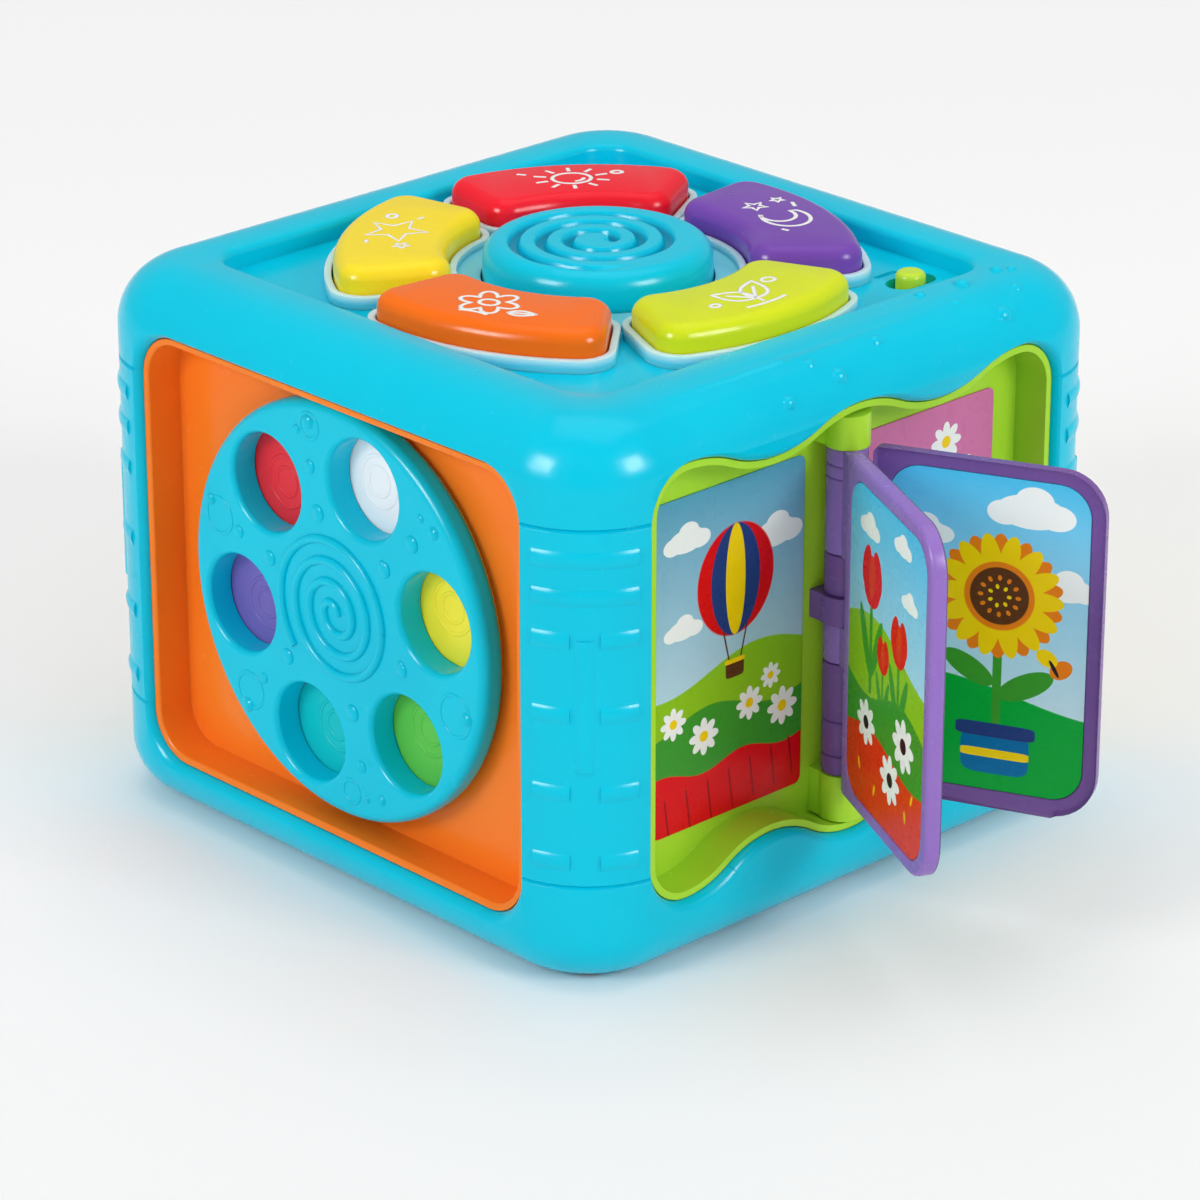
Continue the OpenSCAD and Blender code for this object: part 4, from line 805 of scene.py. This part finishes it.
# how far the knuckle's outline lies in, and how far along, at an end and at a groove
KNUCKLE_END = ((0.5, 0.0), (0.15, 0.15), (0.0, 0.5))
KNUCKLE_GROOVE = ((0.0, -0.5), (0.15, -0.2), (0.6, 0.0), (0.15, 0.2), (0.0, 0.5))
ARM_INNER, ARM_OUTER, ARM_SIDE, ARM_THICK = 3.0, 7.6, 0.2, 2.4
print(f"pages: {PAGE['end'] - PAGE['inner']:.1f} by {PAGE['high'] - PAGE['low']:.1f} mm")

# %% Page frames


def rounded_loop(left, right, low, high, inner, outer, steps=10):
    """Points round a rectangle, with one radius at its left corners and another at its right ones."""
    corners = ((right - outer, low + outer, outer, -90), (right - outer, high - outer, outer, 0),
               (left + inner, high - inner, inner, 90), (left + inner, low + inner, inner, 180))
    return [(x + radius * math.cos(math.radians(start + 90 * k / steps)),
             z + radius * math.sin(math.radians(start + 90 * k / steps)))
            for x, z, radius, start in corners for k in range(steps + 1)]


def loop_verts(bm, points, depth):
    """New points of a loop at one depth."""
    return [bm.verts.new((x, depth, z)) for x, z in points]


def skirt(bm, one, other):
    """Joins two loops of the same length by a band of faces."""
    count = len(one)
    for k in range(count):
        bm.faces.new((one[k], one[(k + 1) % count], other[(k + 1) % count], other[k]))


def loop_edges(bm, loop):
    """The edges between a loop's neighbouring points."""
    count = len(loop)
    return [bm.edges.get((loop[k], loop[(k + 1) % count])) for k in range(count)]


def page_plate(bm):
    """The frame with a pocket on each side, its outer edges rolled and its windows eased."""
    left, right, low, high = PAGE["inner"], PAGE["end"], PAGE["low"], PAGE["high"]
    rim = rounded_loop(left, right, low, high, HINGE_CORNER, FREE_CORNER)
    window = rounded_loop(
        left + BORDER, right - BORDER, low + BORDER, high - BORDER, WINDOW_CORNER, WINDOW_CORNER)
    rims, windows = [], []
    for depth, pocket in ((PAGE["near_side"], POCKET), (PAGE["far_side"], -POCKET)):
        outer = loop_verts(bm, rim, depth)
        inner = loop_verts(bm, window, depth)
        bottom = loop_verts(bm, window, depth + pocket)
        skirt(bm, outer, inner)
        skirt(bm, inner, bottom)
        bm.faces.new(bottom)
        rims.append(outer)
        windows.append(inner)
    skirt(bm, rims[0], rims[1])
    rolled = [edge for loop in rims for edge in loop_edges(bm, loop)]
    eased = [edge for loop in windows for edge in loop_edges(bm, loop)]
    bmesh.ops.bevel(bm, geom=eased, offset=WINDOW_EASE, segments=3, profile=0.5, affect="EDGES", material=-1)
    rolled = [edge for edge in rolled if edge.is_valid]
    bmesh.ops.bevel(bm, geom=rolled, offset=RIM_ROLL, segments=6, profile=0.5, affect="EDGES", material=-1)


def knuckle(bm, low, high):
    """A tube round the spine with eased ends, and the arm that joins it to the frame."""
    low, high = low + KNUCKLE_GAP, high - KNUCKLE_GAP
    outline = [(KNUCKLE_BORE, low), *[(KNUCKLE_RADIUS - x, low + z) for x, z in KNUCKLE_END]]
    for middle in sorted(z for z in GROOVES if low < z < high):
        outline += [(KNUCKLE_RADIUS - x, middle + z) for x, z in KNUCKLE_GROOVE]
    outline += [(KNUCKLE_RADIUS - x, high - z) for x, z in reversed(KNUCKLE_END)]
    outline.append((KNUCKLE_BORE, high))
    profile = [bm.verts.new((x, 0, z)) for x, z in outline]
    edges = [bm.edges.new((profile[k - 1], profile[k])) for k in range(len(profile))]
    bmesh.ops.spin(bm, geom=profile + edges, cent=(0, 0, 0), axis=(0, 0, 1), dvec=(0, 0, 0),
                   angle=math.tau, steps=48, use_merge=True)
    arm = bmesh.ops.create_cube(bm, size=1.0)["verts"]
    bmesh.ops.scale(bm, verts=arm, vec=(ARM_OUTER - ARM_INNER, ARM_THICK, high - low))
    bmesh.ops.translate(bm, verts=arm, vec=(
        (ARM_INNER + ARM_OUTER) / 2, ARM_SIDE + ARM_THICK / 2, (low + high) / 2))


# the near leaf is the same violet plastic painted lighter, as painted light, because it stands in the light
PAGE_FINISH = {
    "near": plastic("painted_lit_violet", srgb(152, 116, 198), srgb(146, 110, 192), **VIOLET_SKIN),
    "far": finishes["violet_plastic"],
}
for side, spans in KNUCKLES.items():
    bm = bmesh.new()
    page_plate(bm)
    for low, high in spans:
        knuckle(bm, low, high)
    bmesh.ops.recalc_face_normals(bm, faces=bm.faces)
    mirror = Matrix.Scale(-1, 4, (0, 1, 0)) if side == "near" else Matrix.Identity(4)
    place = Matrix.Translation((HINGE_X, 0, 0)) @ Matrix.Rotation(FACE_ON[side], 4, "Z") @ mirror
    bmesh.ops.transform(bm, matrix=Matrix.Scale(MM, 4) @ place, verts=bm.verts)
    bmesh.ops.recalc_face_normals(bm, faces=bm.faces)
    page_frame = settle(
        bm, f"{side}_page_frame", f"{side}_page", PAGE_FINISH[side], [f"page_{side}"],
        SHARP_PAGE)
    print(f"{side}_page_frame: {len(page_frame.data.polygons)} faces")

# %% [markdown]
# ## Signs on the buttons
# Each light button has a small white line drawing printed on its flat top. A printed line is a stroke of even
# width, which is just what a curve with a round bevel gives. Each sign is a few strokes in the button's own
# plane, with up towards the middle of the cube. The tubes are made a mesh, pressed almost flat, and laid
# on the button, so they stand a few hundredths of a millimetre proud.

# %% Strokes
STROKE_HALF, STROKE_RISE = 0.44, 0.12
SIGN_RING, SIGN_SCALE = 50.0 * MM, 1.25
SUN_SQUASH = 0.85


def ring(x, y, wide, tall, begin=0.0, sweep=360.0, count=40):
    """Points round an ellipse, or along a part of it."""
    angles = [math.radians(begin + sweep * k / count) for k in range(count + (sweep < 360))]
    return [(x + wide * math.cos(a), y + tall * math.sin(a)) for a in angles]


def rosette(x, y, radius, swell, count):
    """The outline of a flower in one stroke."""
    angles = [math.tau * k / (count * 14) for k in range(count * 14)]
    reaches = [radius + swell * abs(math.cos(count * a / 2)) for a in angles]
    return [(x + r * math.cos(a), y + r * math.sin(a)) for r, a in zip(reaches, angles)]


def star(x, y, radius, waist, points=5):
    """The outline of a star with one tip up."""
    corners = [(waist if k % 2 else radius, math.pi * k / points) for k in range(2 * points)]
    return [(x + r * math.sin(a), y + r * math.cos(a)) for r, a in corners]


def blade(x, y, length, width, turn):
    """A leaf's outline, from its stalk to its tip and back."""
    shares = [k / 14 for k in range(15)]
    rim = [(length * t, width * math.sin(math.pi * t ** 0.8)) for t in shares]
    rim += [(length * t, -width * math.sin(math.pi * t ** 0.8)) for t in reversed(shares[1:-1])]
    c, s = math.cos(math.radians(turn)), math.sin(math.radians(turn))
    return [(x + c * u - s * v, y + s * u + c * v) for u, v in rim]


def rays(x, y, near, far, count):
    """Short strokes that point away from a middle."""
    angles = [math.tau * (k + 0.5) / count for k in range(count)]
    return [[(x + r * math.cos(a), y + SUN_SQUASH * r * math.sin(a)) for r in (near, far)] for a in angles]


# %% Signs
# closed strokes first, then open ones
SIGNS = {
    "lime": (
        [blade(-0.5, -3.5, 9.5, 2.6, 50), blade(-0.5, -3.5, 8.5, 2.4, 128),
         ring(8.5, 2.2, 1.4, 1.1), ring(-9.2, -1.5, 1.0, 0.8)],
        [[(-0.5, -5.8), (-0.5, -3.5), (3.6, 1.4)], [(-0.5, -3.5), (-4.0, 1.0)],
         ring(-0.5, -5.8, 5.5, 0.9, 200, 140)]),
    "purple": (
        [ring(-2.2, 0.2, 5.4, 4.7, 55, 250) + ring(-0.2, 1.0, 3.9, 3.5, 290, -220),
         star(6.5, 2.6, 2.6, 1.1), star(8.2, -3.2, 1.5, 0.65)],
        [[(3.0, -4.6), (5.6, -5.2)], [(-9.6, 3.4), (-8.2, 4.2)]]),
    "red": (
        [ring(0, 0, 3.9, 3.3), ring(-9.5, -2.8, 1.1, 0.9)],
        [*rays(0, 0, 5.2, 7.8, 10), ring(0, 0, 2.4, 2.0, 100, 80), [(8.8, -3.2), (10.6, -3.9)]]),
    "yellow": (
        [star(0, 0, 6.4, 2.9), star(8.6, 3.0, 1.7, 0.75), ring(-8.4, -2.6, 1.2, 1.0)],
        [[(-8.8, 3.6), (-7.4, 2.8)], [(6.6, -4.4), (8.2, -4.0)]]),
    "orange": (
        [rosette(-1.5, 0, 3.2, 2.8, 6), ring(-1.5, 0, 1.9, 1.6), blade(4.4, -3.2, 5.4, 1.3, 15)],
        [[(4.4, -3.2), (9.8, -1.7)], ring(-1.5, -6.6, 3.2, 1.0, 20, 140)]),
}
BUTTON_TURNS = {"lime": 0, "purple": 72, "red": 144, "yellow": 216, "orange": 288}
print_white = plastic("print_white", srgb(252, 252, 250), srgb(246, 246, 244), gloss=SATIN, shine=0.3)


def stroke_mesh(name, closed, opened, half_width):
    """A mesh of round strokes through the given points, in millimetres in the plane of the drawing."""
    curve = bpy.data.curves.new(name, "CURVE")
    curve.dimensions = "3D"
    curve.bevel_depth = half_width * MM
    curve.bevel_resolution = 3
    curve.use_fill_caps = True
    for cyclic, strokes in ((True, closed), (False, opened)):
        for points in strokes:
            line = curve.splines.new("POLY")
            line.points.add(len(points) - 1)
            line.use_cyclic_u = cyclic
            for point, (x, y) in zip(line.points, points):
                point.co = (x * MM, y * MM, 0, 1)
    drawn = bpy.data.objects.new(name, curve)
    scene.collection.objects.link(drawn)
    mesh = bpy.data.meshes.new_from_object(drawn.evaluated_get(bpy.context.evaluated_depsgraph_get()))
    bpy.data.objects.remove(drawn)
    return mesh


def lay(mesh, place, body, finish):
    """Moves a drawn mesh to its place, and makes it a finished piece with its finish, on its body."""
    bm = bmesh.new()
    bm.from_mesh(mesh)
    name = mesh.name
    bpy.data.meshes.remove(mesh)
    bmesh.ops.transform(bm, matrix=place, verts=bm.verts)
    bmesh.ops.recalc_face_normals(bm, faces=bm.faces)
    return settle(bm, name, body, finish, [], SHARP_ROUND)


for colour, (closed, opened) in SIGNS.items():
    drawn = stroke_mesh(f"sign_{colour}", closed, opened, STROKE_HALF)
    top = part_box(f"button_{colour}")[1].z
    flatten = Matrix.Diagonal((SIGN_SCALE, SIGN_SCALE, STROKE_RISE, 1))
    upright = Matrix.Rotation(math.radians(BUTTON_TURNS[colour] + 90), 4, "Z")
    outward = Matrix.Rotation(math.radians(BUTTON_TURNS[colour]), 4, "Z") @ Vector((SIGN_RING, 0, top))
    place = Matrix.Translation(outward) @ upright @ flatten
    sign = lay(drawn, place, f"{colour}_key", print_white)
    print(f"{sign.name}: {len(closed) + len(opened)} strokes, {len(sign.data.polygons)} faces")

# %% [markdown]
# ## Bubble rings
# The wheel's face and the colour pads behind it have flat bubbles: thin rings, a fraction of a millimetre
# proud. They are strokes as well, pressed flat and sunk to their middle. Rays that are cast at the wheel side
# find the skin's depth, so the rings of a piece lie on its skin wherever that is.

# %% Bubble rings
RING_HALF, RING_RISE = 0.5, 0.4
wheel_low, wheel_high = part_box("spin_wheel")
AXLE = (wheel_low + wheel_high) / 2 / MM
# distance from the axle, angle and radius
WHEEL_RINGS = ((44, 163, 4.6), (44, 223, 4.6), (44, 343, 5.2), (46, 100, 3.2), (45, 276, 3.0))
PAD_TURNS = {"red": 133, "white": 73, "yellow": 13, "green": -47, "teal": -107, "purple": -167}
PAD_RINGS = ((35, 3, 6.4), (35, 3, 3.6))


def on_side(reach, turn):
    """A place on the wheel side, by its distance from the axle and its angle."""
    return AXLE.x + reach * math.cos(math.radians(turn)), AXLE.z + reach * math.sin(math.radians(turn))


def skin_depth(node, places):
    """How deep a solid's skin lies at most of the places."""
    hits = [solids[node].ray_cast(Vector((x * MM, -1, z * MM)), Vector((0, 1, 0)))[1].y for x, z in places]
    return sorted(hits)[len(hits) // 2]


def bubble_rings(node, rings, body, slot, name):
    """Lays rings on a solid of the wheel side."""
    centres = [on_side(reach, turn) for reach, turn, radius in rings]
    circles = [ring(x, z, radius, radius, count=56) for (x, z), (reach, turn, radius) in zip(centres, rings)]
    drawn = stroke_mesh(name, circles, [], RING_HALF)
    flatten = Matrix.Diagonal((1, 1, RING_RISE, 1))
    sunk = Matrix.Translation((0, skin_depth(node, centres), 0))
    lay(drawn, sunk @ Matrix.Rotation(math.pi / 2, 4, "X") @ flatten, body, finishes[slot])
    print(f"{name}: {len(rings)} rings")


bubble_rings("spin_wheel", WHEEL_RINGS, "wheel", "cyan_shell", "wheel_bubbles")
for colour, turn in PAD_TURNS.items():
    rings = [(reach, turn + aside, radius) for reach, aside, radius in PAD_RINGS]
    bubble_rings(f"pad_{colour}", rings, "housing", f"{colour}_pad", f"{colour}_pad_bubbles")

# %% [markdown]
# The solid's spiral is three turns of half circles whose middles take turns on two points. The real one winds
# on towards the holes, so a stroke of the same thickness goes on from its end by the same rule.

# %% Outer turn of the spiral
SPIRAL_ASIDE, SPIRAL_TUBE = 1.3, 1.1
SPIRAL_UPPER, SPIRAL_LOWER, SPIRAL_END = 18.1, 20.7, 38.0
upper = ring(AXLE.x - SPIRAL_ASIDE, AXLE.z, SPIRAL_UPPER, SPIRAL_UPPER, 0, 180)
lower = ring(AXLE.x + SPIRAL_ASIDE, AXLE.z, SPIRAL_LOWER, SPIRAL_LOWER, 180, SPIRAL_END)
drawn = stroke_mesh("wheel_spiral", [], [upper + lower[1:]], SPIRAL_TUBE)
wheel_face = skin_depth("spin_wheel", [on_side(reach, turn) for reach, turn, radius in WHEEL_RINGS])
sunk = Matrix.Translation((0, wheel_face, 0)) @ Matrix.Rotation(math.pi / 2, 4, "X")
spiral = lay(drawn, sunk, "wheel", finishes["cyan_shell"])
print(f"wheel_spiral: {len(spiral.data.polygons)} faces at {wheel_face / MM:.2f} mm")

# %% [markdown]
# Between the holes the wheel has small full bubbles as well. A ball that is flattened and sunk to its middle
# in the wheel's face leaves such a low dome.

# %% Bubble domes
DOME_RISE = 0.4
# distance from the axle, angle and radius
WHEEL_DOMES = (
    (24.6, 103, 2.2), (24.6, 163, 2.0), (24.4, 43, 2.2), (24.4, 223, 2.1), (24.6, 283, 2.2), (24.6, 343, 1.9),
    (36, 103, 1.8), (36.5, 163, 1.7), (38, 43, 2.2), (38, 283, 1.6), (37, 223, 1.4))
bm = bmesh.new()
for reach, turn, radius in WHEEL_DOMES:
    x, z = on_side(reach, turn)
    place = Matrix.Translation((x * MM, wheel_face, z * MM)) @ Matrix.Diagonal((1, DOME_RISE, 1, 1))
    bmesh.ops.create_uvsphere(bm, u_segments=32, v_segments=16, radius=radius * MM, matrix=place)
domes = settle(bm, "wheel_domes", "wheel", finishes["cyan_shell"], [], SHARP_ROUND)
print(f"wheel_domes: {len(WHEEL_DOMES)} domes, {len(domes.data.polygons)} faces")
